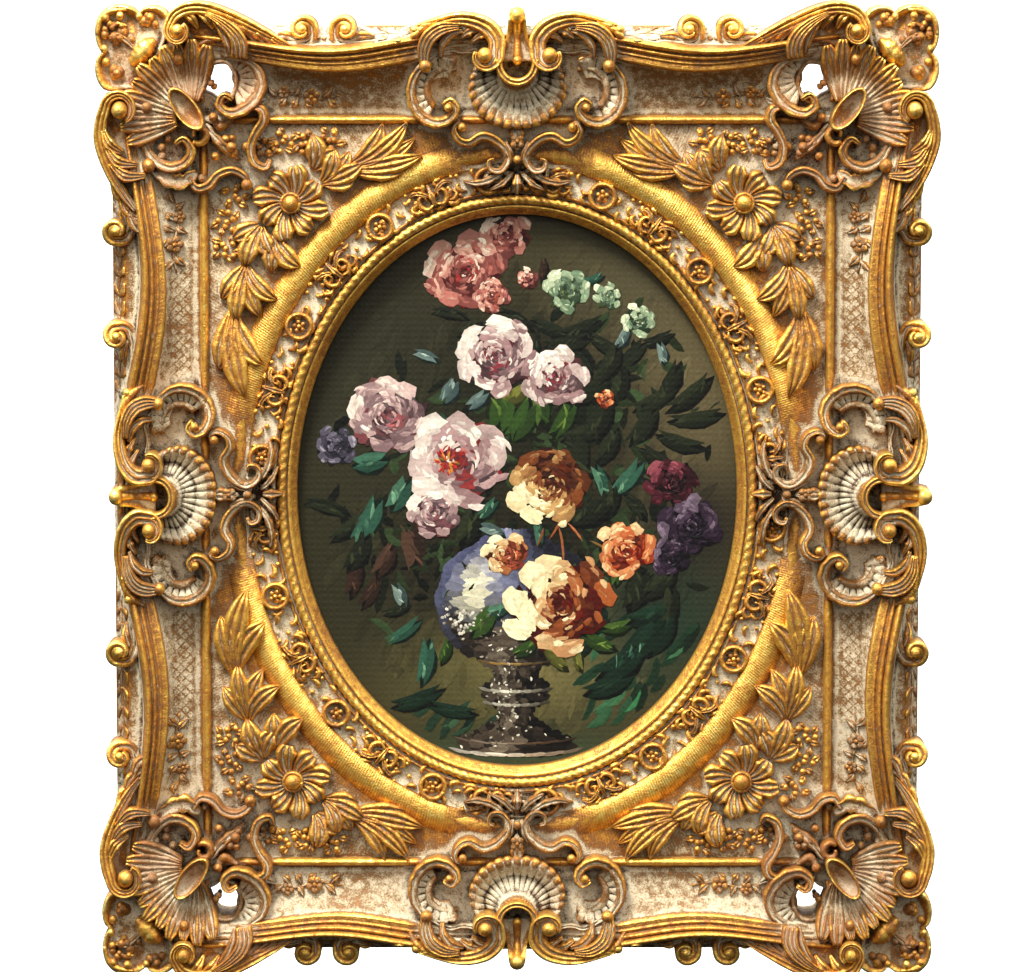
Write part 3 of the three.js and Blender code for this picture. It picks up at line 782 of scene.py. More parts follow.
def railOrnament():
    parts = []
    for signs in quarters:
        for side, plan in enumerate(railPlan):
            along, out, flip = plan["sprig"]
            place = onRail(signs, side, along, out)
            parts += sprig(lambda u, v: place(v, flip * u))
            for along, turn in plan["knobs"]:
                parts += curlKnob(onRail(signs, side, along, plan["knobsOut"], turn))
            stripOut = moulding["outline"][1 - side] - 6.5
            for start, stop in plan["strips"]:
                parts += leafStrip(onRail(signs, side, start, stripOut), stop - start, start)
    return parts


def meshObject(name, part):
    points, loops, totals = part
    mesh = bpy.data.meshes.new(name)
    mesh.vertices.add(len(points))
    place = np.stack([points[:, 0], -points[:, 2], points[:, 1]], -1) / 1000
    place[:, 2] += centreHeight
    mesh.vertices.foreach_set("co", place.astype(np.float32).reshape(-1))
    mesh.loops.add(len(loops))
    mesh.loops.foreach_set("vertex_index", loops.astype(np.int32))
    mesh.polygons.add(len(totals))
    mesh.polygons.foreach_set("loop_start", np.concatenate([[0], np.cumsum(totals)[:-1]]).astype(np.int32))
    mesh.polygons.foreach_set("use_smooth", np.ones(len(totals), bool))
    mesh.update(calc_edges=True)
    piece = bpy.data.objects.new(name, mesh)
    bpy.context.scene.collection.objects.link(piece)
    return piece


cornerHole = {"x": 272, "z": 378, "halfX": 14.5, "halfZ": 16.5}


def pierce(piece):
    # The four holes beside the corner shells go right through to the wall.
    turn = np.linspace(0, 2 * np.pi, 40, endpoint=False)
    ragged = 1 + 0.12 * np.cos(3 * turn + 0.6) + 0.07 * np.cos(5 * turn + 1)
    cutters = []
    for signX, signZ in quarters:
        x = signX * (cornerHole["x"] + cornerHole["halfX"] * ragged * np.cos(turn)) + np.zeros((2, 1))
        z = signZ * (cornerHole["z"] + cornerHole["halfZ"] * ragged * np.sin(turn)) + np.zeros((2, 1))
        cutters.append(gridPart(x, z, np.array([[-20], [120]]) + 0 * x))
    cutter = meshObject("cutter", joinParts(cutters))
    cut = piece.modifiers.new("holes", "BOOLEAN")
    cut.operation = "DIFFERENCE"
    cut.solver = "MANIFOLD"
    cut.object = cutter
    whole = piece.data
    piece.data = bpy.data.meshes.new_from_object(piece.evaluated_get(bpy.context.evaluated_depsgraph_get()))
    piece.modifiers.clear()
    bpy.data.objects.remove(cutter)
    bpy.data.meshes.remove(whole)
    # The flat back, whose faces are long, is not shaded smooth.
    normal = np.empty(3 * len(piece.data.polygons), np.float32)
    piece.data.polygons.foreach_get("normal", normal)
    piece.data.polygons.foreach_set("use_smooth", normal[1::3] < 0.9)


heightMap = {
    "step": 2.0, "halfX": 404, "halfZ": 464,
    "blurs": [(4.0, 9), (13.0, 26), (32.0, 45)],  # spread, and the depth that counts as one
    "contactShade": 0.75,  # how much deeper and darker the finish goes where an ornament stands close by: painted shade, with some grime
}


def reliefMap(parts):
    # The highest rise in each square of a grid over the frame.
    step = heightMap["step"]
    x = np.arange(-heightMap["halfX"], heightMap["halfX"], step) + step / 2
    z = np.arange(-heightMap["halfZ"], heightMap["halfZ"], step) + step / 2
    height = groundRise(*np.meshgrid(x, z))
    for points, _, _ in parts:
        column = ((points[:, 0] + heightMap["halfX"]) / step).astype(int).clip(0, len(x) - 1)
        row = ((points[:, 1] + heightMap["halfZ"]) / step).astype(int).clip(0, len(z) - 1)
        np.maximum.at(height, (row, column), points[:, 2])
    return height


def blurred(height, spreadMm):
    # A Gaussian blur, as a product of Fourier transforms.
    frequency = [np.fft.fftfreq(n, heightMap["step"]) for n in height.shape]
    square = frequency[0][:, None] ** 2 + frequency[1][None] ** 2
    return np.fft.ifft2(np.fft.fft2(height) * np.exp(-2 * (np.pi * spreadMm) ** 2 * square)).real


tooling = {
    "hatchMm": 2.3,  # between lines across the ridge of the oval band and over the spandrel ground
    "latticeMm": 6.0,  # between lines in the coves of the side rails
    "ridge": 2.2, "ground": 1.0, "panel": 1.8,  # how strongly each is drawn
    "panelOut": (12.5, 318), "panelAlong": (100, 215),  # out from the bead to x, and along
}


def drawnLines(x, z, name):
    # Where lines are tooled into the gesso, and the angle of two sets of lines there: a hatch across
    # the ridge of the oval band and out over the spandrel ground, and a lattice in the side coves.
    e = ovalOffset(x, z)
    hatch, lattice = (2 * np.pi / tooling[key] for key in ("hatchMm", "latticeMm"))
    farX, farZ = np.abs(x), np.abs(z)
    (beadX, beadZ), (sightX, sightZ) = moulding["bead"], moulding["sight"]
    (inner, outer), (low, high) = tooling["panelOut"], tooling["panelAlong"]
    onBody = name == "frame_body"
    ridge = (e > 45.5) & (e < 72) & (name == "oval_band")
    ground = (farX < beadX - 5) & (farZ < beadZ - 5) & (e > 60) & onBody
    panel = (farX > beadX + inner) & (farX < outer) & (farZ > low) & (farZ < high) & onBody
    arc = hatch * 0.5 * (sightX + sightZ + 110) * np.arctan2(z, x)
    phase = np.where(panel, lattice * (x + z) * 0.7, arc)
    cross = np.where(panel, lattice * (x - z) * 0.7, arc)
    fade = ridgeFade(np.arctan2(z / sightZ, x / sightX))
    drawn = np.where(ridge, tooling["ridge"] * fade, tooling["ground"] * ground + tooling["panel"] * panel)
    return drawn, phase, cross


finish = {
    # How far each area is moved towards gold (under 0) or towards the pale wash (over 0).
    # The upper cove's value is painted shade: it is kept from the pale wash so that it reads darker.
    "bead": -1.7, "ground": -1.2, "reeds": -0.5, "upperCoveShade": -0.6,
    "bandRidge": -0.9, "bandLip": -1.0, "bandRope": -0.3, "band": -0.3,
    "cartouche": (0.75, 0.95), "shell": (0.3, 0.5), "corner": (0.7, 0.95),  # at the top, and lower down; less wash at the top, which for the shells is painted shade
    "cornerWing": 0.6, "spandrel_leaves": -0.4, "rail_leaves": 0.1,
    "top": 300,
}


def finishShift(x, z, rise, name):
    # Where an area takes more gold or more wash than the depth alone gives: partly the gilder's work, and
    # partly painted shade where the upper cove and the top shells are kept darker.
    e = ovalOffset(x, z)
    (beadX, beadZ), (sightX, sightZ) = moulding["bead"], moulding["sight"]
    outX, outZ = np.abs(x) - beadX, np.abs(z) - beadZ
    out = np.maximum(outX, outZ)
    top = z > finish["top"]
    if name == "frame_body":
        ground = finish["ground"] * smoothStep(125, 70, e) * (out < -5)
        # Painted shade: the upper cove, which faces down, takes less pale wash and so reads darker.
        cove = finish["upperCoveShade"] * smoothStep(300, 400, z) * ((out > 12) & (rise < 62))
        reeds = finish["reeds"] * ((out > 20) & (rise > 62))
        return finish["bead"] * (np.abs(out) < 4.8) + ground + reeds + cove
    if name == "oval_band":
        ridge = finish["bandRidge"] * ridgeFade(np.arctan2(z / sightZ, x / sightX)) * (e > 45)
        cord = finish["bandRope"] * ((e < 19) & (rise > 43))
        return ridge + finish["bandLip"] * (e < 9.5) + cord + finish["band"]
    if name.startswith("cartouche"):
        # The shells are nearly all wash.
        along, far = (x, outZ) if name.endswith(("top", "bottom")) else (z, outX)
        shellArea = (np.abs(along) < 50) & (far > -8) & (far < 52) & (rise < 74)
        # The shells at the top take less wash, painted shade, so that they read darker than the lower ones.
        return np.where(top, *finish["cartouche"]) + np.where(top, *finish["shell"]) * shellArea
    if name.startswith("corner"):
        wing = (np.abs(x) > 326) & (np.abs(z) > 382) & (rise < 62)
        return np.where(top, *finish["corner"]) + finish["cornerWing"] * wing
    return finish[name] + 0 * x


def vectorsOf(items, key):
    # Three numbers for each item of a mesh, such as its place.
    flat = np.empty(len(items) * 3, np.float32)
    items.foreach_get(key, flat)
    return flat.reshape(-1, 3)


def markRelief(piece, fields):
    # crest is over 0 on ridges and under 0 in grooves: how far a point stands above the mean of its
    # neighbours, along its normal, as a share of the mean edge. hollow is how deep it lies below
    # the relief around it, blurred near, far and wide, and deeper close beside each ornament as painted
    # shade.
    mesh = piece.data
    count = len(mesh.vertices)
    place = vectorsOf(mesh.vertices, "co") * 1000
    normal = vectorsOf(mesh.vertex_normals, "vector")
    edges = np.empty(len(mesh.edges) * 2, np.int32)
    mesh.edges.foreach_get("vertices", edges)
    a, b = edges.reshape(-1, 2).T
    both, other = np.concatenate([a, b]), np.concatenate([b, a])
    degree = np.bincount(both, minlength=count).clip(1)

    def neighbourMean(value):
        return np.bincount(both, value[other], count) / degree

    length = np.linalg.norm(place[a] - place[b], axis=1)
    reach = np.bincount(both, np.concatenate([length, length]), count) / degree
    lift = sum((place[:, k] - neighbourMean(place[:, k])) * normal[:, k] for k in range(3)) / reach.clip(0.2)
    lift = 0.5 * lift + 0.5 * neighbourMean(lift)

    # The blurred reliefs are read between the squares of their grid.
    x, z, rise = place[:, 0], place[:, 2] - 1000 * centreHeight, -place[:, 1]
    across = (x + heightMap["halfX"]) / heightMap["step"] - 0.5
    up = (z + heightMap["halfZ"]) / heightMap["step"] - 0.5
    rows, columns = fields[0][0].shape
    column, row = across.astype(int).clip(0, columns - 2), up.astype(int).clip(0, rows - 2)
    u, w = (across - column).clip(0, 1), (up - row).clip(0, 1)

    def read(field):
        low = blend(field[row, column], field[row, column + 1], u)
        high = blend(field[row + 1, column], field[row + 1, column + 1], u)
        return blend(low, high, w)

    below = [(read(field) - rise) / depth for field, depth in fields]
    # Painted shade: close beside each ornament the hollow is deepened, which darkens the finish there.
    hollow = sum(below) + heightMap["contactShade"] * smoothStep(0.2, 0.65, below[0])
    hollow = (hollow + finishShift(x, z, rise, piece.name)).clip(-1.8, 2.1)
    drawn, phase, cross = drawnLines(x, z, piece.name)
    values = {"crest": np.tanh(3.2 * lift), "hollow": hollow, "drawn": drawn, "phase": phase, "cross": cross}
    for name, value in values.items():
        mesh.attributes.new(name, "FLOAT", "POINT").data.foreach_set("value", value.astype(np.float32))


def linear(code):
    # An sRGB hex colour as linear red, green, blue and alpha.
    value = np.array([int(code[k:k + 2], 16) for k in (1, 3, 5)]) / 255
    value = np.where(value <= 0.04045, value / 12.92, ((value + 0.055) / 1.055) ** 2.4)
    return (*value.tolist(), 1.0)


paint = {
    "base": "#2f2d1d",
    # Soft areas of the ground: x, z, half sizes, colour and strength.
    "areas": [
        (150, 80, 85, 150, "#70664a", 0.9), (110, 205, 90, 50, "#55503a", 0.7),
        (0, 245, 120, 36, "#45412b", 0.8), (-150, 130, 80, 110, "#2e2e20", 0.8),
        (-140, -120, 70, 110, "#2b2b1c", 0.8), (15, -165, 95, 48, "#7a7248", 0.95),
        (-70, -190, 60, 30, "#4c4a2c", 0.7), (140, -120, 80, 80, "#20352a", 0.9),
        (55, 55, 95, 85, "#14150d", 0.85), (-20, 100, 80, 60, "#191c12", 0.6),
        (60, -40, 95, 60, "#15130c", 0.8), (0, -246, 230, 20, "#34432f", 1),
        (175, -30, 40, 50, "#140f12", 0.8), (-75, -75, 50, 60, "#1b1912", 0.7),
    ],
    "varnish": (0.88, 0.83, 0.68),  # the yellowed varnish
    "dragMm": 3.0,  # size of the marks that the brush drags
    "streaks": 3,  # bristle marks across a stroke
    "behind": 30,  # leaves that are laid before the vase
    "seed": 7,
}


def groundColour(x, z):
    # The base colour, moved towards each area's by strength * exp(-d^2), d being the distance in
    # half sizes.
    colour = np.array(linear(paint["base"])[:3]) + 0 * x[..., None]
    for cx, cz, halfX, halfZ, code, strength in paint["areas"]:
        share = strength * np.exp(-(((x - cx) / halfX) ** 2 + ((z - cz) / halfZ) ** 2))[..., None]
        colour = blend(colour, np.array(linear(code)[:3]), share)
    return colour


def mixList(codes, share):
    # A run of colours, read at each share from 0 to 1.
    table = np.array([linear(code)[:3] for code in codes])
    share = np.clip(share, 0, 1) * (len(codes) - 1)
    return np.stack([np.interp(share, np.arange(len(codes)), table[:, k]) for k in range(3)], -1)


class StrokeList:
    # Brush strokes in the order they are laid: centre, direction, length, width, bend, colour, body.
    def __init__(self):
        self.rows = []

    def lay(self, x, z, angle, length, width, bend, colour, body=0.35, point=0.2):
        n = np.size(x)
        row = [np.broadcast_to(np.asarray(v, float), (n,)) for v in (x, z, angle, length, width, bend)]
        ends = [np.broadcast_to(np.asarray(v, float), (n,)) for v in (body, point)]
        self.rows.append(np.column_stack(row + [np.broadcast_to(colour, (n, 3))] + ends))


flowerKinds = {
    "pink": ["#3d1c1c", "#a35a55", "#daa698", "#f7e6da"],
    "white": ["#44343a", "#a48288", "#dccecd", "#fcf7f2"],
    "blush": ["#3c2c32", "#8c7078", "#c8acae", "#f3e8e4"],
    "greenWhite": ["#26382c", "#6f8a70", "#a9bda0", "#e6eed6"],
    "gold": ["#2e130a", "#7c4220", "#d0aa70", "#fbf0c8"],
    "yellow": ["#3c120c", "#a2562c", "#e2bf8e", "#fdf3cc"],
    "orange": ["#35100c", "#a8401e", "#de9460", "#f6dcae"],
    "wine": ["#14060a", "#34111a", "#541f2c", "#8a4554"],
    "plum": ["#0e0a10", "#24182a", "#3c2c42", "#7c6c84"],
    "lilac": ["#1d1c26", "#3c394a", "#67637a", "#a8a4b8"],
}

# Blooms: x, z, radius, kind and the colour of the heart.
blooms = [
    (-168, 42, 17, "lilac", "#2a2836"), (143, 8, 22, "wine", "#1c060c"), (161, -33, 26, "plum", "#140c18"),
    (142, -62, 17, "plum", "#140c18"), (83, 181, 12, "greenWhite", "#5a6e44"),
    (111, 158, 14, "greenWhite", "#4c5f3c"), (45, 187, 19, "greenWhite", "#6d7f48"),
    (-12, 238, 22, "pink", "#7c3434"), (-50, 205, 33, "pink", "#a03030"), (9, 197, 9, "pink", "#8c3a34"),
    (-24, 182, 15, "pink", "#c0604c"), (-20, 126, 33, "white", "#8c3040"),
    (35, 106, 27, "white", "#a83848"), (-120, 72, 35, "blush", "#b06068"),
    (-77, -20, 22, "blush", "#9a5864"), (-57, 31, 41, "peony", "#b02a2a"), (28, 4, 34, "gold", "#5a2410"),
    (-10, -60, 19, "yellow", "#c05a40"), (101, -55, 24, "orange", "#9c1c0a"),
    (37, -105, 44, "yellow", "#5e1408"), (81, 86, 8, "orange", "#a04428"),
]


def layRose(strokes, random, x, z, radius, kind, heart):
    # Broad ragged petals round a dark heart, each with a shadow on its inner side and a few loaded
    # lights on its outer one. Light falls from the upper left.
    radius = 1.14 * radius
    codes = flowerKinds["white" if kind == "peony" else kind]
    detail = np.clip(radius / 30, 0.45, 1.25)
    angle = random.uniform(0, 2 * np.pi, 8)
    strokes.lay(x + 0.42 * radius * np.cos(angle) + 1, z + 0.42 * radius * np.sin(angle) - 2, angle,
            radius * 0.95, radius * 0.6, 0.8, mixList([codes[0], heart], random.uniform(0, 0.7, 8)) * 0.6,
            0.2, 0.0)
    # Rings: share of the radius, petals, petal size.
    rings = [(0.82, 8, 0.56), (0.64, 8, 0.5), (0.47, 7, 0.42), (0.31, 6, 0.34), (0.16, 4, 0.26)]
    if kind == "peony":
        rings = [(0.80, 8, 0.66), (0.62, 7, 0.6), (0.42, 6, 0.42)]
    for share, petals, size in rings:
        count = max(4, int(round(petals * (0.6 + 0.45 * detail))))
        angle = 2 * np.pi * (np.arange(count) + random.uniform(-0.36, 0.36, count)) / count + 7 * share
        reach = radius * share * random.uniform(0.84, 1.14, count)
        light = 0.5 + 0.5 * np.cos(angle - {"gold": 3.8, "yellow": 2.9}.get(kind, 2.2))
        value = 0.12 + 0.42 * share + 0.36 * light + random.uniform(-0.26, 0.22, count)
        value = value + 0.34 * (kind in ("gold", "yellow")) * (light - 0.5)
        length = radius * size * random.uniform(0.85, 1.25, count)
        width = radius * size * random.uniform(0.55, 0.85, count)
        direction = angle + np.pi / 2 + random.uniform(-0.5, 0.5, count)
        bend = random.uniform(0.5, 1.5, count)
        px, pz = x + reach * np.cos(angle), z + 0.92 * reach * np.sin(angle)
        inward = 0.42 * width
        shadow = 0.55 * mixList([heart, codes[0], codes[1]], random.uniform(0.1, 0.7, count))
        strokes.lay(px - inward * np.cos(angle), pz - inward * np.sin(angle) - 1, direction, length * 1.05,
                width * 0.8, bend, shadow, 0.2, 0.1)
        strokes.lay(px, pz, direction, length, width, bend, mixList([heart] + codes, value), 0.5, 0.05)
        for _ in range(2 + (detail > 0.9)):
            offset = random.uniform(-0.3, 0.34, count)
            along = random.uniform(-0.35, 0.35, count)
            lx = px + offset * width * np.cos(angle) + along * length * np.cos(direction)
            lz = pz + offset * width * np.sin(angle) + along * length * np.sin(direction)
            strokes.lay(lx, lz, direction + random.uniform(-0.4, 0.4, count),
                    length * random.uniform(0.35, 0.6, count), width * random.uniform(0.2, 0.42, count),
                    bend, mixList([heart] + codes, value + 0.5 * offset + 0.14), 0.8, 0.3)
    # The heart: dark folds and a few bright flecks.
    count = int(8 + 10 * detail)
    angle, reach = random.uniform(0, 2 * np.pi, count), radius * 0.36 * np.sqrt(random.uniform(0, 1, count))
    folds = mixList([heart, codes[0], heart, codes[2], codes[3]], random.uniform(0, 1, count) ** 1.3)
    strokes.lay(x + 0.06 * radius + reach * np.cos(angle), z - 0.04 * radius + reach * np.sin(angle),
            angle + np.pi / 2 + random.uniform(-0.6, 0.6, count),
            radius * random.uniform(0.12, 0.26, count), radius * random.uniform(0.05, 0.10, count), 1.2,
            folds, 0.7, 0.4)
    if kind == "peony":
        angle, reach = random.uniform(0, 2 * np.pi, 40), radius * 0.26 * np.sqrt(random.uniform(0, 1, 40))
        colour = mixList(["#7c1818", "#c83030", "#d8a040", "#2a1006", "#e05a50"], random.uniform(0, 1, 40))
        strokes.lay(x - 8 + reach * np.cos(angle), z - 4 + reach * np.sin(angle), angle, 6, 2.2, 0.6,
                colour, 0.8, 0.4)


# Tones of a leaf, from shadow to light.
leafTones = {
    "teal": ["#12231c", "#2c5648", "#6b9a80"], "green": ["#141f0e", "#2f4a1e", "#6d8a3c"],
    "dark": ["#0c0f09", "#1b2114", "#333a25"], "cloth": ["#0a120d", "#12261b", "#1e3e2c"],
    "blue": ["#1c2a2c", "#52686a", "#a8bfba"], "olive": ["#2a2c14", "#5a5c28", "#8f9244"],
    "brown": ["#150e0a", "#33221a", "#584033"],
}

# Leaves: x and z of the middle, direction in degrees, length, width and tone.
leaves = [
    (160, 88, 38, 52, 15, "dark"), (165, 66, 8, 50, 14, "dark"), (142, 100, 62, 44, 14, "dark"),
    (128, 84, 30, 46, 15, "dark"), (150, 44, -16, 46, 14, "dark"), (118, 60, 55, 44, 16, "dark"),
    (130, 28, -32, 40, 14, "dark"), (176, 78, 20, 40, 11, "dark"), (105, 125, 40, 40, 14, "dark"),
    (95, 100, 80, 40, 15, "dark"), (60, 150, 20, 44, 13, "dark"), (30, 150, -20, 40, 12, "dark"),
    (80, 135, -30, 34, 11, "dark"), (130, 140, 20, 30, 10, "dark"), (0, 160, 150, 36, 10, "dark"),
    (-62, 165, 170, 34, 9, "dark"), (-137, -28, 62, 46, 20, "teal"), (-176, -14, 165, 42, 12, "dark"),
    (-158, -36, 40, 36, 11, "dark"), (-150, -80, 80, 40, 15, "brown"), (-135, -95, 60, 34, 13, "brown"),
    (-108, -98, 110, 26, 12, "blue"), (-84, -160, 80, 44, 14, "teal"), (-104, -132, 35, 38, 11, "teal"),
    (-66, -150, 70, 26, 10, "green"), (-112, -112, 20, 26, 9, "dark"), (-96, -52, 100, 44, 22, "brown"),
    (-122, -66, 60, 34, 16, "brown"), (-84, 126, 160, 24, 9, "blue"), (-62, 92, 60, 24, 15, "blue"),
    (-136, 26, 10, 34, 18, "teal"), (-108, -4, 60, 34, 19, "teal"), (-36, 84, 40, 24, 12, "blue"),
    (-14, 74, 80, 40, 22, "green"), (6, 66, 60, 44, 22, "green"), (22, 78, 100, 34, 16, "green"),
    (-2, 88, 30, 30, 15, "olive"), (44, 66, 60, 40, 16, "green"), (60, 52, 20, 40, 16, "dark"),
    (84, 40, 60, 40, 15, "dark"), (104, 12, 50, 40, 15, "teal"), (88, -8, 80, 36, 14, "dark"),
    (78, 10, 110, 30, 12, "teal"), (-28, -18, 40, 28, 11, "teal"), (-24, -36, 160, 26, 10, "blue"),
    (60, -22, 40, 30, 12, "dark"), (20, -38, 100, 26, 9, "teal"), (-32, -124, 50, 34, 18, "green"),
    (-18, -112, 20, 26, 12, "teal"), (74, -142, -25, 36, 13, "green"), (34, -156, -50, 32, 12, "olive"),
    (8, -148, 30, 26, 12, "green"), (92, -128, 10, 30, 11, "green"), (56, -158, -80, 22, 9, "olive"),
    (92, -76, 90, 26, 10, "green"), (120, -88, 60, 24, 10, "dark"), (-146, 52, 20, 28, 10, "dark"),
    (-66, 62, 120, 22, 10, "teal"), (60, 120, 130, 30, 10, "dark"), (14, 128, 60, 26, 10, "dark"),
    (-20, 222, 60, 20, 7, "dark"), (24, 205, 80, 22, 7, "brown"), (70, 196, 20, 20, 7, "teal"),
    (98, 142, 60, 22, 9, "blue"), (134, 128, 100, 20, 9, "blue"), (-44, 150, 30, 26, 9, "dark"),
    (110, -14, 130, 30, 11, "dark"), (-104, 92, 140, 26, 10, "teal"), (111, -94, 70, 40, 20, "dark"),
    (132, -88, 40, 42, 18, "dark"), (142, -108, 80, 40, 16, "dark"), (122, -118, 20, 40, 18, "cloth"),
    (118, -140, 50, 56, 24, "cloth"), (134, -132, 66, 50, 22, "cloth"), (98, -162, 34, 56, 22, "cloth"),
    (108, -150, 44, 60, 16, "teal"), (86, -182, 24, 50, 18, "cloth"), (-92, -196, 20, 50, 14, "cloth"),
    (-62, -206, -12, 46, 12, "cloth"), (-44, -34, 70, 40, 20, "dark"), (56, 36, 100, 40, 22, "dark"),
    (76, 66, 60, 44, 20, "dark"), (66, 92, 30, 44, 18, "dark"), (-90, 40, 120, 36, 18, "dark"),
    (-146, -58, 60, 40, 16, "dark"), (46, 136, 10, 44, 14, "dark"), (86, 118, 60, 38, 16, "dark"),
    (70, -20, 30, 44, 20, "dark"),
]


def layLeaf(strokes, random, x, z, degrees, length, width, tone):
    # A pointed leaf: its shadow, two halves, a broken light on each and a few veins.
    angle = np.radians(degrees)
    codes = leafTones[tone]
    across = np.array([-np.sin(angle), np.cos(angle)])
    shadow = 0.6 * mixList(codes, np.zeros(1))
    strokes.lay([x + 1.5], [z - 2], angle, length * 1.1, width * 1.15, 0.5, shadow, 0.1, 0.8)
    side = 0.2 * width
    for sign, value in ((-1, 0.3), (1, 0.55)):
        light = mixList(codes, value + random.uniform(-0.15, 0.15, 1))
        strokes.lay([x + sign * side * across[0]], [z + sign * side * across[1]], angle, length, width * 0.6,
                0.5 + 0.2 * sign, light, 0.3, 0.9)
    n = 4
    share, swing = random.uniform(-0.36, 0.36, n), random.uniform(-0.8, 1.2, n)
    strokes.lay(x + share * length * np.cos(angle) + swing * side * across[0],
            z + share * length * np.sin(angle) + swing * side * across[1],
            angle + random.uniform(-0.2, 0.9, n), width * random.uniform(0.5, 0.9, n),
            width * random.uniform(0.1, 0.24, n), 0.4, mixList(codes, random.uniform(0.3, 1.0, n)), 0.5,
            0.6)


vase = {
    "x": -1,
    # Its outline: heights, and the half width at each.
    "heights": [-246, -240, -232, -222, -214, -206, -198, -190, -182, -174, -166, -158, -146, -130, -100, -70,
                -52, -44, -36],
    "halves": [54, 60, 58, 34, 20, 16, 26, 35, 34, 22, 24, 36, 56, 70, 77, 66, 42, 24, 20],
}


def layVase(strokes, random):
    # Rows of level dabs, bent round the body: silver-blue with one warm light, then a dark chased
    # band, the knops of the stem and the foot.
    rows = np.arange(-243, -38, 4.0)
    side = np.linspace(-0.8, 0.8, 10)
    z, side = (v.reshape(-1) for v in np.meshgrid(rows, side, indexing="ij"))
    mixed = random.permutation(len(z))
    z, side = z[mixed] + random.uniform(-1, 1, len(z)), side[mixed]
    half = np.interp(z, vase["heights"], vase["halves"])
    share = (side + random.uniform(-0.05, 0.05, len(z))).clip(-0.82, 0.82)
    shade = 0.8 - 0.75 * np.abs(share + 0.42) - 0.5 * smoothStep(-80, -120, z)
    body = mixList(["#191a24", "#444862", "#7f84aa", "#b2b6d8"], shade + random.uniform(-0.05, 0.05, len(z)))
    glow = 0.95 * np.exp(-((share + 0.52) / 0.17) ** 2 - ((z + 88) / 21) ** 2)[:, None]
    body = blend(body, np.array(linear("#fffbd8")[:3]), glow)
    glint = 0.75 - 0.7 * np.abs(share + 0.3) + random.uniform(-0.3, 0.3, len(z))
    metal = mixList(["#0b0908", "#221c18", "#4a4038", "#7c7266"], glint)
    colour = np.where((z < -122)[:, None], metal, body)
    strokes.lay(vase["x"] + share * half * 0.98, z - 0.05 * half * (1 - share**2), 0.2 * share, 0.28 * half,
            8.6, 0.1, colour, 0.1, 0)
    # The outline of the body.
    z = np.linspace(-150, -46, 14)
    half = np.interp(z, vase["heights"], vase["halves"])
    for sign, codes in ((-1, ["#1e1a1a", "#3e4258", "#565b80", "#50547a"]),
            (1, ["#0d0c10", "#191a24", "#1e202c"])):
        slope = np.arctan2(np.gradient(z), sign * np.gradient(half))
        strokes.lay(vase["x"] + sign * 0.93 * half, z, slope, 17, 8.5, 0.12 * sign,
                mixList(codes, (z + 150) / 104), 0.1, 0)
    # Chased flecks over the lower band, the knops and the foot.
    count = 200
    z = random.uniform(-240, -108, count)
    half = np.interp(z, vase["heights"], vase["halves"])
    share = random.normal(-0.25, 0.42, count).clip(-0.9, 0.85)
    fleck = mixList(["#3a322a", "#8a8276", "#d6d2c8", "#f2efe6"], random.uniform(0, 1, count) ** 2.6)
    strokes.lay(vase["x"] + share * half, z, random.uniform(0, 3.1, count), random.uniform(2, 4.4, count),
            random.uniform(1, 2.2, count), 0.8, fleck, 0.6, 0.3)
    # Pearls low on the left of the body.
    angle, reach = random.uniform(0, 2 * np.pi, 46), np.sqrt(random.uniform(0, 1, 46))
    x, z = -52 + 18 * reach * np.cos(angle), -122 + 13 * reach * np.sin(angle) - 4 * reach * np.cos(angle)
    pearl = mixList(["#6c6864", "#b8b4ae", "#f4f2ea"], random.uniform(0, 1, 46))
    strokes.lay(x, z, angle, 3.2, 2.6, 0.6, pearl, 0.8, 0)
    # Bright edges: height, half width, thickness, colours from left to right.
    for height, reach, thick, codes in ((-240, 60, 3.4, ["#7c7a78", "#dcd8d0", "#9a8a7a", "#4c4640"]),
                                        (-230, 55, 2, ["#3a2a20", "#8c8074", "#54402e", "#221a14"]),
                                        (-197, 30, 3, ["#3a3630", "#c8c6bc", "#6a655c", "#1c1814"]),
                                        (-184, 33, 3, ["#4a463e", "#dddbd0", "#7a756c", "#1c1814"]),
                                        (-158, 34, 2.4, ["#2a2018", "#b08c4c", "#5a4a30", "#1a1612"])):
        side = np.linspace(-0.86, 0.86, 7)
        strokes.lay(vase["x"] + side * reach, height - 0.13 * reach * np.sqrt(1 - side**2), 0.3 * side,
                reach * 0.36, thick, 0.14, mixList(codes, (side + 1) / 2), 0.4, 0)


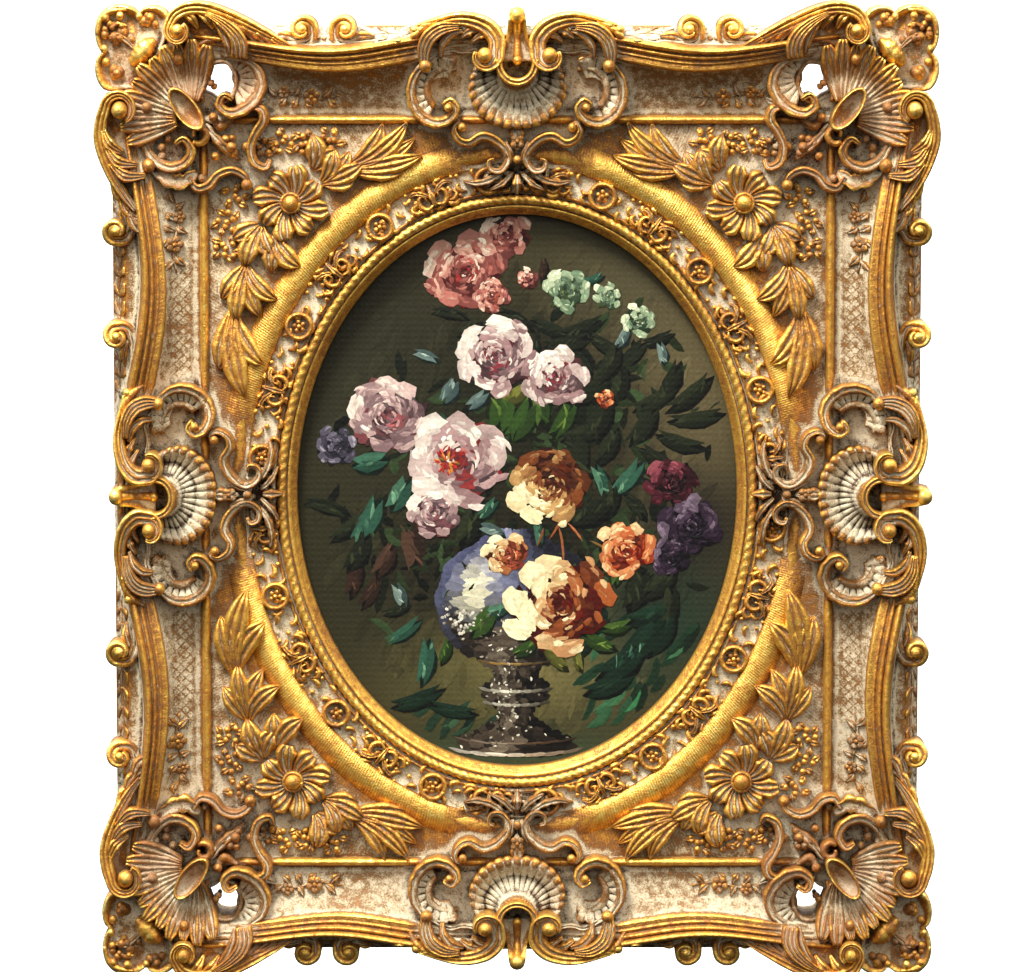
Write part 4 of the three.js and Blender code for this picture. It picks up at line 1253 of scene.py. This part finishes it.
def layPainting():
    random = np.random.default_rng(paint["seed"])
    strokes = StrokeList()
    a, b = moulding["sight"]
    # The ground: broad soft strokes, close in colour to what lies under them.
    count = 330
    angle, reach = random.uniform(0, 2 * np.pi, count), np.sqrt(random.uniform(0, 1, count))
    x, z = 0.9 * a * reach * np.cos(angle), 0.92 * b * reach * np.sin(angle)
    shade = groundColour(x, z) * random.uniform(0.8, 1.22, count)[:, None]
    strokes.lay(x, z, random.uniform(0.6, 1.5, count), random.uniform(22, 42, count),
            random.uniform(7, 13, count), random.uniform(-0.5, 0.5, count), shade, 0.12)
    # The cloth behind and under the vase.
    for x0, z0, x1, z1, codes, n in ((60, -215, 170, -120, ["#0d1a12", "#1d3a28", "#3a6a4a"], 46),
                                     (-110, -225, -10, -205, ["#10201a", "#20382a", "#35503a"], 16),
                                     (110, -215, 140, -190, ["#1d4a30", "#3f8a5c", "#5fae7c"], 7)):
        x, z = random.uniform(x0, x1, n), random.uniform(z0, z1, n)
        strokes.lay(x, z, random.uniform(0.5, 1.3, n), random.uniform(16, 36, n), random.uniform(4, 10, n),
                    random.uniform(0.2, 1.2, n), mixList(codes, random.uniform(0, 1, n)), 0.3)
    # The dark mass of foliage behind the blooms.
    greens = ["#0b0d08", "#171d11", "#26331c", "#34482c"]
    for x0, z0, spreadX, spreadZ, n in ((70, 70, 66, 78, 130), (-50, 50, 74, 66, 80), (60, -50, 74, 60, 80),
            (-80, -60, 60, 54, 60)):
        x, z = x0 + spreadX * random.normal(0, 0.6, n), z0 + spreadZ * random.normal(0, 0.6, n)
        strokes.lay(x, z, random.uniform(0, np.pi, n), random.uniform(14, 28, n), random.uniform(5, 10, n),
                random.uniform(-1, 1, n), mixList(greens, random.uniform(0, 1, n) ** 1.5), 0.25, 0.7)
    for leaf in leaves[:paint["behind"]]:
        layLeaf(strokes, random, *leaf)
    layVase(strokes, random)
    for leaf in leaves[paint["behind"]:]:
        layLeaf(strokes, random, *leaf)
    # Stems.
    for x, z, degrees, length, code in ((42, -50, 98, 34, "#9a5a34"), (36, -36, 60, 22, "#8a4a2c"),
            (54, -38, 130, 22, "#a8643c"), (22, -44, 70, 18, "#7a4428"), (14, 96, 70, 26, "#6d8a3c"),
            (78, -52, 150, 22, "#7a5a30")):
        strokes.lay([x], [z], np.radians(degrees), length, 2.2, 0.3, np.array([linear(code)[:3]]), 0.7)
    for bloom in blooms:
        layRose(strokes, random, *bloom)
    # Fallen petals.
    for x, z in ((-96, -228), (-84, -233), (-100, -234)):
        strokes.lay([x], [z], 0.3, 11, 4.5, 0.6, mixList(["#c8b0a8", "#efe4dc"], random.uniform(0, 1, 1)),
                0.6)
    return np.concatenate(strokes.rows)


def strokePart(rows, front, order):
    # Each stroke is a thin bent dab: its middle line turns by bend over its length, its half width is
    # width / 2 * (1 - |t|^(3.2 - 1.8 point))^(0.5 + 0.45 point), its edges and ends are ragged, and it
    # swells by body * sqrt(1 - s^2), with bristle marks.
    steps, across = 6, paint["streaks"]
    x, z, angle, length, width, bend, red, green, blue, body, point = rows.T[:, :, None, None]
    bend = np.where(np.abs(bend) < 0.05, 0.05, bend)
    random = np.random.default_rng(paint["seed"])
    bristle = random.uniform(-1, 1, (len(rows), 1, across))
    s = np.linspace(-1, 1, across)[None, None, :]
    t = np.linspace(-1, 1, steps)[None, :, None] * (1 + 0.16 * (1 - point) * bristle)
    heading = angle + bend * t / 2
    centreX = x + length / bend * (np.sin(heading) - np.sin(angle))
    centreZ = z - length / bend * (np.cos(heading) - np.cos(angle))
    even = np.linspace(-1, 1, steps)[None, :, None]
    half = width / 2 * (1 - 0.97 * np.abs(even) ** (3.2 - 1.8 * point)) ** (0.5 + 0.45 * point)
    edges = random.uniform(0.80, 1.16, (2, len(rows), steps, 1))
    half = half * np.where(s < 0, edges[0], edges[1])
    px = centreX - np.sin(heading) * half * s
    pz = centreZ + np.cos(heading) * half * s
    level = front + 0.2 + 0.7 * order[:, None, None]
    rise = level + 0.3 * body * np.sqrt(1 - 0.9 * s**2) * (1 - 0.6 * np.abs(even) ** 3) * (1 + 0.3 * bristle)
    px = np.concatenate([px[..., :1], px, px[..., -1:]], -1)
    pz = np.concatenate([pz[..., :1], pz, pz[..., -1:]], -1)
    rise = np.pad(rise, ((0, 0), (0, 0), (1, 1)))
    rise[..., 0] = rise[..., -1] = level[..., 0] - 0.1
    columns = across + 2
    keep = (ovalOffset(px, pz) < -1.0).all((1, 2))
    px, pz, rise = px[keep], pz[keep], rise[keep]
    streak = 1 + 0.24 * bristle + 0.14 * random.uniform(-1, 1, (len(rows), steps, across))
    tint = np.stack([red * streak, green * streak, blue * streak], -1)
    tint = np.concatenate([tint[:, :, :1], tint, tint[:, :, -1:]], 2)[keep]
    count = len(px)
    index = np.arange(count * steps * columns).reshape(count, steps, columns)
    near, far = index[:, :-1], index[:, 1:]
    quads = np.stack([near, np.roll(near, -1, 2), np.roll(far, -1, 2), far], -1).reshape(count, -1)
    loops = np.concatenate([quads, index[:, 0, ::-1], index[:, -1]], 1).reshape(-1)
    totals = np.tile(np.concatenate([np.full((steps - 1) * columns, 4), [columns, columns]]), count)
    points = np.stack([px, pz, rise], -1).reshape(-1, 3)
    corner = points[index[0, 0, 1]], points[index[0, 0, 2]], points[index[0, 1, 2]]
    if np.cross(corner[1] - corner[0], corner[2] - corner[0])[2] > 0:
        loops = loops[::-1]
        totals = totals[::-1]
    return (points, loops, totals), tint.reshape(-1, 3)


linen = {"thickness": 1.0, "turnover": 14.0, "threadMm": 0.9, "bare": "#b3a07c"}


def canvasPart():
    # Rings from the middle of the linen out, over the edge, down the sides and in behind the bars,
    # then back along the inner face. Corners of the rings are square.
    low, high = np.array(canvasLow) * 1000, np.array(canvasHigh) * 1000
    halfX, halfZ = (high[0] - low[0]) / 2, (high[2] - low[2]) / 2
    front, back = -low[1], -high[1]
    # The size it was cut to: its front, the depth of its edges and what is turned over.
    flat = tuple(2 * (half + (front - back) + linen["turnover"]) / 1000 for half in (halfX, halfZ))
    skin, turnover = linen["thickness"], linen["turnover"]
    share = np.linspace(0.012, 1, 40) ** 0.8
    rings = [(1 - k, front) for k in share]  # share of the half sizes left, then the rise
    inset = [(halfX * part, rise) for part, rise in rings[:-1]]
    inset += [(0.6, front), (0.15, front - 0.4), (0, front - 1.2), (0, (front + back) / 2), (0, back + 0.8),
            (0.4, back), (turnover / 2, back), (turnover, back), (turnover, back + skin),
            (turnover / 2, back + skin), (skin, back + skin), (skin, front - skin)]
    inner = [(halfX * part, front - skin) for part in (0.3, 0.6, 0.9, 0.985)]
    inset, rise = np.array(inset + inner, float).T[:, :, None]
    n = 48
    side, part = np.repeat(np.arange(4), n), np.tile(np.arange(n) / n, 4)
    cornerX, cornerZ = np.array([-1, 1, 1, -1]), np.array([1, 1, -1, -1])
    unitX = blend(cornerX[side], np.roll(cornerX, -1)[side], part)
    unitZ = blend(cornerZ[side], np.roll(cornerZ, -1)[side], part)
    x = unitX * (halfX - inset)
    z = unitZ * np.maximum(halfZ - inset * np.where(inset > turnover, halfZ / halfX, 1), 0.4)
    return gridPart(x, z, rise + 0 * x), flat


def newMaterial(name):
    material = bpy.data.materials.new(name)
    material.use_nodes = True
    material.node_tree.nodes.clear()
    return material


def addNode(owner, kind, inputs=None, **settings):
    # Adds a node to a material or a world, sets its properties, and gives each input a value or a link.
    node = owner.node_tree.nodes.new("ShaderNode" + kind)
    for key, value in settings.items():
        setattr(node, key, value)
    for key, value in (inputs or {}).items():
        if isinstance(value, bpy.types.NodeSocket):
            owner.node_tree.links.new(value, node.inputs[key])
        else:
            node.inputs[key].default_value = value
    return node


gilding = {
    # Finish by depth, from burnished crests, over gold and brown toning, to a pale wash in the
    # recesses and umber in the deepest cuts: depth, colour, share of bare metal, roughness. The bright
    # crests are partly painted highlight, and the brown of the grooves and the umber of the deepest
    # cuts partly painted shade.
    "layers": [
        (0.00, "#ffe282", 0.75, 0.28), (0.15, "#f2bd50", 0.75, 0.34), (0.31, "#cd9040", 0.65, 0.40),
        (0.42, "#935f2b", 0.45, 0.5), (0.50, "#80603a", 0.2, 0.65), (0.60, "#b59e78", 0.05, 0.8),
        (0.71, "#dccfae", 0.0, 0.85), (0.87, "#a99c80", 0.0, 0.85), (1.00, "#2b1e12", 0.0, 0.8),
    ],
    "depths": (-1.75, 1.45),  # depths that stand for 0 and 1
    "bole": "#a5642f",  # coppery bole where the leaf is rubbed through
    # Uneven work of the brush and the cloth: size in millimetres, and detail.
    "mottling": {"grime": (6, 5), "speck": (1.5, 3), "cloud": (60, 2), "pits": (0.9, 2)},
    # What each value is the sum of, with weights.
    "sums": {
        "depth": {"hollow": 0.52, "crest": -0.9, "grime": 1.7, "speck": 1.1, "cloud": 0.9, "line": -0.18},
        "wear": {"cloud": 1.5, "grime": 2.0},
        "height": {"line": 0.2, "grime": 1.2, "speck": 0.8, "pits": 0.35},
    },
}


def gildedPaste(name, rubbed):
    # Water gilding over moulded composition: bright crests, toned sides and a matt grey-beige wash in
    # the hollows, all broken up by wear. The bright crests are partly painted highlight and the dark of
    # the deepest hollows partly painted shade. rubbed is how far the leaf has worn to the bole.
    material = newMaterial(name)
    place = addNode(material, "TexCoord").outputs["Object"]
    fields = {key: addNode(material, "Attribute", attribute_name=key).outputs["Fac"]
              for key in ("crest", "hollow", "drawn", "phase", "cross")}
    for key, (sizeMm, detail) in gilding["mottling"].items():
        noise = addNode(material, "TexNoise", {"Vector": place, "Scale": 1000 / sizeMm, "Detail": detail})
        fields[key] = addNode(material, "Math", {0: noise.outputs["Fac"], 1: 0.5},
                operation="SUBTRACT").outputs[0]
    # Tooled lines: where either set of waves is high, sharpened, and scaled by how strongly it is drawn.
    waves = [addNode(material, "Math", {0: fields[key]}, operation="SINE").outputs[0]
            for key in ("phase", "cross")]
    line = waves[0]
    for operation, value in (("MAXIMUM", waves[1]), ("MAXIMUM", 0.0), ("POWER", 3.0),
            ("MULTIPLY", fields["drawn"])):
        line = addNode(material, "Math", {0: line, 1: value}, operation=operation).outputs[0]
    fields["line"] = line
    for key, weights in gilding["sums"].items():
        total = 0.0
        for term, weight in weights.items():
            total = addNode(material, "Math", {0: fields[term], 1: weight, 2: total},
                            operation="MULTIPLY_ADD").outputs[0]
        fields[key] = total
    lowest, highest = gilding["depths"]
    depth = addNode(material, "MapRange", {0: fields["depth"], 1: lowest, 2: highest}).outputs[0]
    ramps = []
    for column in (1, 2, 3):
        ramp = addNode(material, "ValToRGB", {"Fac": depth})
        for k, layer in enumerate(gilding["layers"]):
            stop = ramp.color_ramp.elements[k] if k < 2 else ramp.color_ramp.elements.new(layer[0])
            stop.position = layer[0]
            stop.color = linear(layer[1]) if column == 1 else (layer[column], layer[column], layer[column], 1)
        ramps.append(ramp.outputs["Color"])
    colour, metal, rough = ramps
    worn = addNode(material, "MapRange", {0: fields["wear"], 1: -0.2, 2: 0.4, 3: 0.0, 4: rubbed},
                   interpolation_type="SMOOTHSTEP").outputs[0]
    colour = addNode(material, "Mix", {0: worn, 6: colour, 7: linear(gilding["bole"])},
            data_type="RGBA").outputs[2]
    bump = addNode(material, "Bump", {"Height": fields["height"], "Strength": 0.7,
            "Distance": 0.0009}).outputs[0]
    shader = addNode(material, "BsdfPrincipled", {"Base Color": colour, "Metallic": metal, "Roughness": rough,
                                                  "Normal": bump})
    addNode(material, "OutputMaterial", {"Surface": shader.outputs[0]})
    return material


def oilPaint():
    # Artists' oil, varnished: saturated darks, a soft gloss, ridges left by the bristles, and the
    # weave of the linen showing through.
    material = newMaterial("varnished_oil_paint")
    place = addNode(material, "TexCoord").outputs["Object"]
    pigment = addNode(material, "Attribute", attribute_name="pigment").outputs["Color"]
    drag = addNode(material, "TexNoise", {"Vector": place, "Scale": 1000 / paint["dragMm"], "Detail": 5,
                                          "Roughness": 0.65}).outputs["Fac"]
    value = addNode(material, "MapRange", {0: drag, 1: 0.3, 2: 0.7, 3: 0.82, 4: 1.18}).outputs[0]
    colour = addNode(material, "VectorMath", {0: pigment, 1: paint["varnish"]},
            operation="MULTIPLY").outputs[0]
    colour = addNode(material, "VectorMath", {0: colour, "Scale": value}, operation="SCALE").outputs[0]
    # A wave of scale s has 20 s bands in a metre.
    warp, weft = (addNode(material, "TexWave", {"Vector": place, "Scale": 1000 / (20 * linen["threadMm"]),
                                                "Distortion": 0.6}, bands_direction=axis).outputs["Fac"]
                  for axis in ("X", "Z"))
    weave = addNode(material, "Math", {0: warp, 1: weft}, operation="MULTIPLY").outputs[0]
    height = addNode(material, "Math", {0: weave, 1: drag}, operation="ADD").outputs[0]
    bump = addNode(material, "Bump", {"Height": height, "Strength": 0.3, "Distance": 0.0004}).outputs[0]
    shader = addNode(material, "BsdfPrincipled", {"Base Color": colour, "Roughness": 0.42, "Normal": bump,
                                                  "Specular IOR Level": 0.35})
    addNode(material, "OutputMaterial", {"Surface": shader.outputs[0]})
    return material


pine = {"grainMm": 6.0, "ringMm": 4.0, "pale": "#c9a26c", "dark": "#8a6436"}


def barePine():
    # Planed softwood, unfinished: pale, with close straight grain.
    material = newMaterial("bare_pine")
    place = addNode(material, "TexCoord").outputs["Object"]
    grain = addNode(material, "TexNoise", {"Vector": place, "Scale": 1000 / pine["grainMm"], "Detail": 6,
                                           "Distortion": 1.2}).outputs["Fac"]
    rings = addNode(material, "TexWave", {"Vector": place, "Scale": 1000 / (20 * pine["ringMm"]),
            "Distortion": 7, "Detail": 2}, bands_direction="DIAGONAL").outputs["Fac"]
    share = addNode(material, "Math", {0: grain, 1: rings}, operation="MULTIPLY").outputs[0]
    colour = addNode(material, "Mix", {0: share, 6: linear(pine["pale"]), 7: linear(pine["dark"])},
                     data_type="RGBA").outputs[2]
    bump = addNode(material, "Bump", {"Height": share, "Strength": 0.2, "Distance": 0.0005}).outputs[0]
    shader = addNode(material, "BsdfPrincipled", {"Base Color": colour, "Roughness": 0.7, "Normal": bump})
    addNode(material, "OutputMaterial", {"Surface": shader.outputs[0]})
    return material


def dress(piece, material, node):
    # Gives a piece its material, and says what it rides on and stands for.
    piece.data.materials.clear()
    piece.data.materials.append(material)
    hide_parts(node)
    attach(piece, "root")
    print(piece.name, sum(len(face.vertices) - 2 for face in piece.data.polygons), "triangles")


def frameParts():
    # The pieces of the gilded frame, as lists of closed skins.
    beadX, beadZ = moulding["bead"]

    def tuck(v, share):
        # How far a point is drawn in towards the bead.
        return share * np.maximum(0, v - 14)

    parts = {
        "frame_body": [frameBody()],
        "oval_band": [ovalSkin(), rope()] + ovalOrnament(),
        # The lower and side cartouches are the top one, turned, and drawn in towards the bead.
        "cartouche_top": centreCartouche(lambda u, v: (0.95 * u, beadZ + v)),
        "cartouche_bottom": centreCartouche(lambda u, v: (0.95 * u, -beadZ - v + tuck(v, 0.085))),
        "cartouche_left": centreCartouche(lambda u, v: (3 - beadX - v + tuck(v, 0.15), 0.97 * u)),
        "cartouche_right": centreCartouche(lambda u, v: (beadX + v - 3 - tuck(v, 0.08), 0.97 * u)),
        "spandrel_leaves": [],
        "rail_leaves": railOrnament(),
    }
    for signX, signZ in quarters:
        def place(x, z):
            return -signX * x, signZ * z
        name = "corner_" + ("top" if signZ > 0 else "bottom") + ("_left" if signX < 0 else "_right")
        parts[name] = cornerCartouche(place)
        parts["spandrel_leaves"] += spandrel(place)
    return parts


def buildFrame():
    gilt, worn = gildedPaste("toned_gilding_and_painted_light", 0.12), gildedPaste("rubbed_gilding_and_painted_light", 0.5)
    joined = {name: joinParts(parts) for name, parts in frameParts().items()}
    print("relief drawn")
    height = reliefMap(joined.values())
    fields = [(blurred(height, spreadMm), depth) for spreadMm, depth in heightMap["blurs"]]
    print("relief blurred")
    for name, part in joined.items():
        piece = meshObject(name, part)
        if name == "frame_body":
            pierce(piece)
        markRelief(piece, fields)
        dress(piece, worn if name.startswith("corner") else gilt, "frame")


def setPigment(piece, colour):
    # The colour at each point, which the oil paint reads.
    rgba = np.concatenate([colour, np.ones((len(colour), 1))], 1).astype(np.float32)
    piece.data.attributes.new("pigment", "FLOAT_COLOR", "POINT").data.foreach_set("color", rgba.reshape(-1))


def buildPainting():
    oil, wood = oilPaint(), barePine()
    part, flat = canvasPart()
    canvas = meshObject("canvas_linen", part)
    place = vectorsOf(canvas.data.vertices, "co") * 1000
    colour = groundColour(place[:, 0], place[:, 2] - 1000 * centreHeight)
    # The sides and the back are unpainted.
    bare = (-place[:, 1] < -1000 * canvasLow.y - 0.9)[:, None]
    setPigment(canvas, np.where(bare, np.array(linear(linen["bare"])[:3]), colour))
    rows, front = layPainting(), -1000 * canvasLow.y
    print("painting laid in", len(rows), "strokes")
    share = np.arange(len(rows)) / len(rows)
    layers = []
    for name, pick in (("underpainting", share < 0.5), ("impasto", share >= 0.5)):
        part, tint = strokePart(rows[pick], front, share[pick])
        layer = meshObject(name, part)
        layer.data.polygons.foreach_set("use_smooth", np.zeros(len(part[2]), bool))
        setPigment(layer, tint.clip(0, 1))
        layers.append(layer)
    for piece in [canvas] + layers:
        dress(piece, oil, "canvas")
    bars = [f"stretcher_{name}" for name in ("top", "bottom", "left", "right")]
    for name in bars:
        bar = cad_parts[name]
        bar.data.materials.clear()
        bar.data.materials.append(wood)


studio = {
    "distance": 5.2, "elevation": 6.5, "viewWidth": 0.952, "shiftX": -0.0047, "shiftZ": 0.0014,
    "floorDrop": 1.25, "floorHalf": 150, "floor": "#f4f3f0",
    "skyHeights": (-0.04, 0.8), "skyLevels": (0.03, 2.85),  # brightest overhead, dimmer round the horizon
    "keyPlace": (-0.8, -1.2, 1.9), "keyTarget": (0, 0, -0.35), "keySize": 0.6, "keyPower": 112,
}


def paleFloor():
    # Painted studio floor, matt.
    material = newMaterial("pale_floor")
    shader = addNode(material, "BsdfPrincipled", {"Base Color": linear(studio["floor"]), "Roughness": 0.9})
    addNode(material, "OutputMaterial", {"Surface": shader.outputs[0]})
    half, height = studio["floorHalf"], centreHeight - studio["floorDrop"]
    mesh = bpy.data.meshes.new("floor")
    corners = [(-half, -half, height), (half, -half, height), (half, half, height), (-half, half, height)]
    mesh.from_pydata(corners, [], [(0, 1, 2, 3)])
    mesh.materials.append(material)
    floor = bpy.data.objects.new("floor", mesh)
    bpy.context.scene.collection.objects.link(floor)
    floor.visible_diffuse = False
    floor.visible_glossy = False


def stage():
    scene = bpy.context.scene
    scene.view_settings.view_transform = "Standard"
    tilt = np.radians(studio["elevation"])
    camera = bpy.data.cameras.new("camera")
    camera.sensor_width = 36
    camera.lens = 36 * studio["distance"] / studio["viewWidth"]
    viewer = bpy.data.objects.new("camera", camera)
    viewer.location = (studio["shiftX"], -studio["distance"] * np.cos(tilt),
                       centreHeight + studio["shiftZ"] + studio["distance"] * np.sin(tilt))
    viewer.rotation_euler = (np.pi / 2 - tilt, 0, 0)
    scene.collection.objects.link(viewer)
    scene.camera = viewer
    paleFloor()

    world = bpy.data.worlds.new("studio")
    world.use_nodes = True
    ray = addNode(world, "TexCoord").outputs["Generated"]
    height = addNode(world, "SeparateXYZ", {0: ray}).outputs["Z"]
    (low, high), (dim, bright) = studio["skyHeights"], studio["skyLevels"]
    level = addNode(world, "MapRange", {"Value": height, "From Min": low, "From Max": high, "To Min": dim,
                                        "To Max": bright}).outputs[0]
    background = world.node_tree.nodes["Background"]
    background.inputs["Color"].default_value = (1, 1, 1, 1)
    world.node_tree.links.new(level, background.inputs["Strength"])
    scene.world = world

    light = bpy.data.lights.new("key", "AREA")
    light.size = studio["keySize"]
    light.energy = studio["keyPower"]
    lamp = bpy.data.objects.new("key", light)
    lamp.location = studio["keyPlace"]
    x, y, z = np.array(studio["keyTarget"]) - np.array(studio["keyPlace"])
    lamp.rotation_euler = (np.arctan2(np.hypot(x, y), -z), 0, np.arctan2(y, x) - np.pi / 2)
    scene.collection.objects.link(lamp)
    print("camera and lights placed")


buildFrame()
buildPainting()
stage()
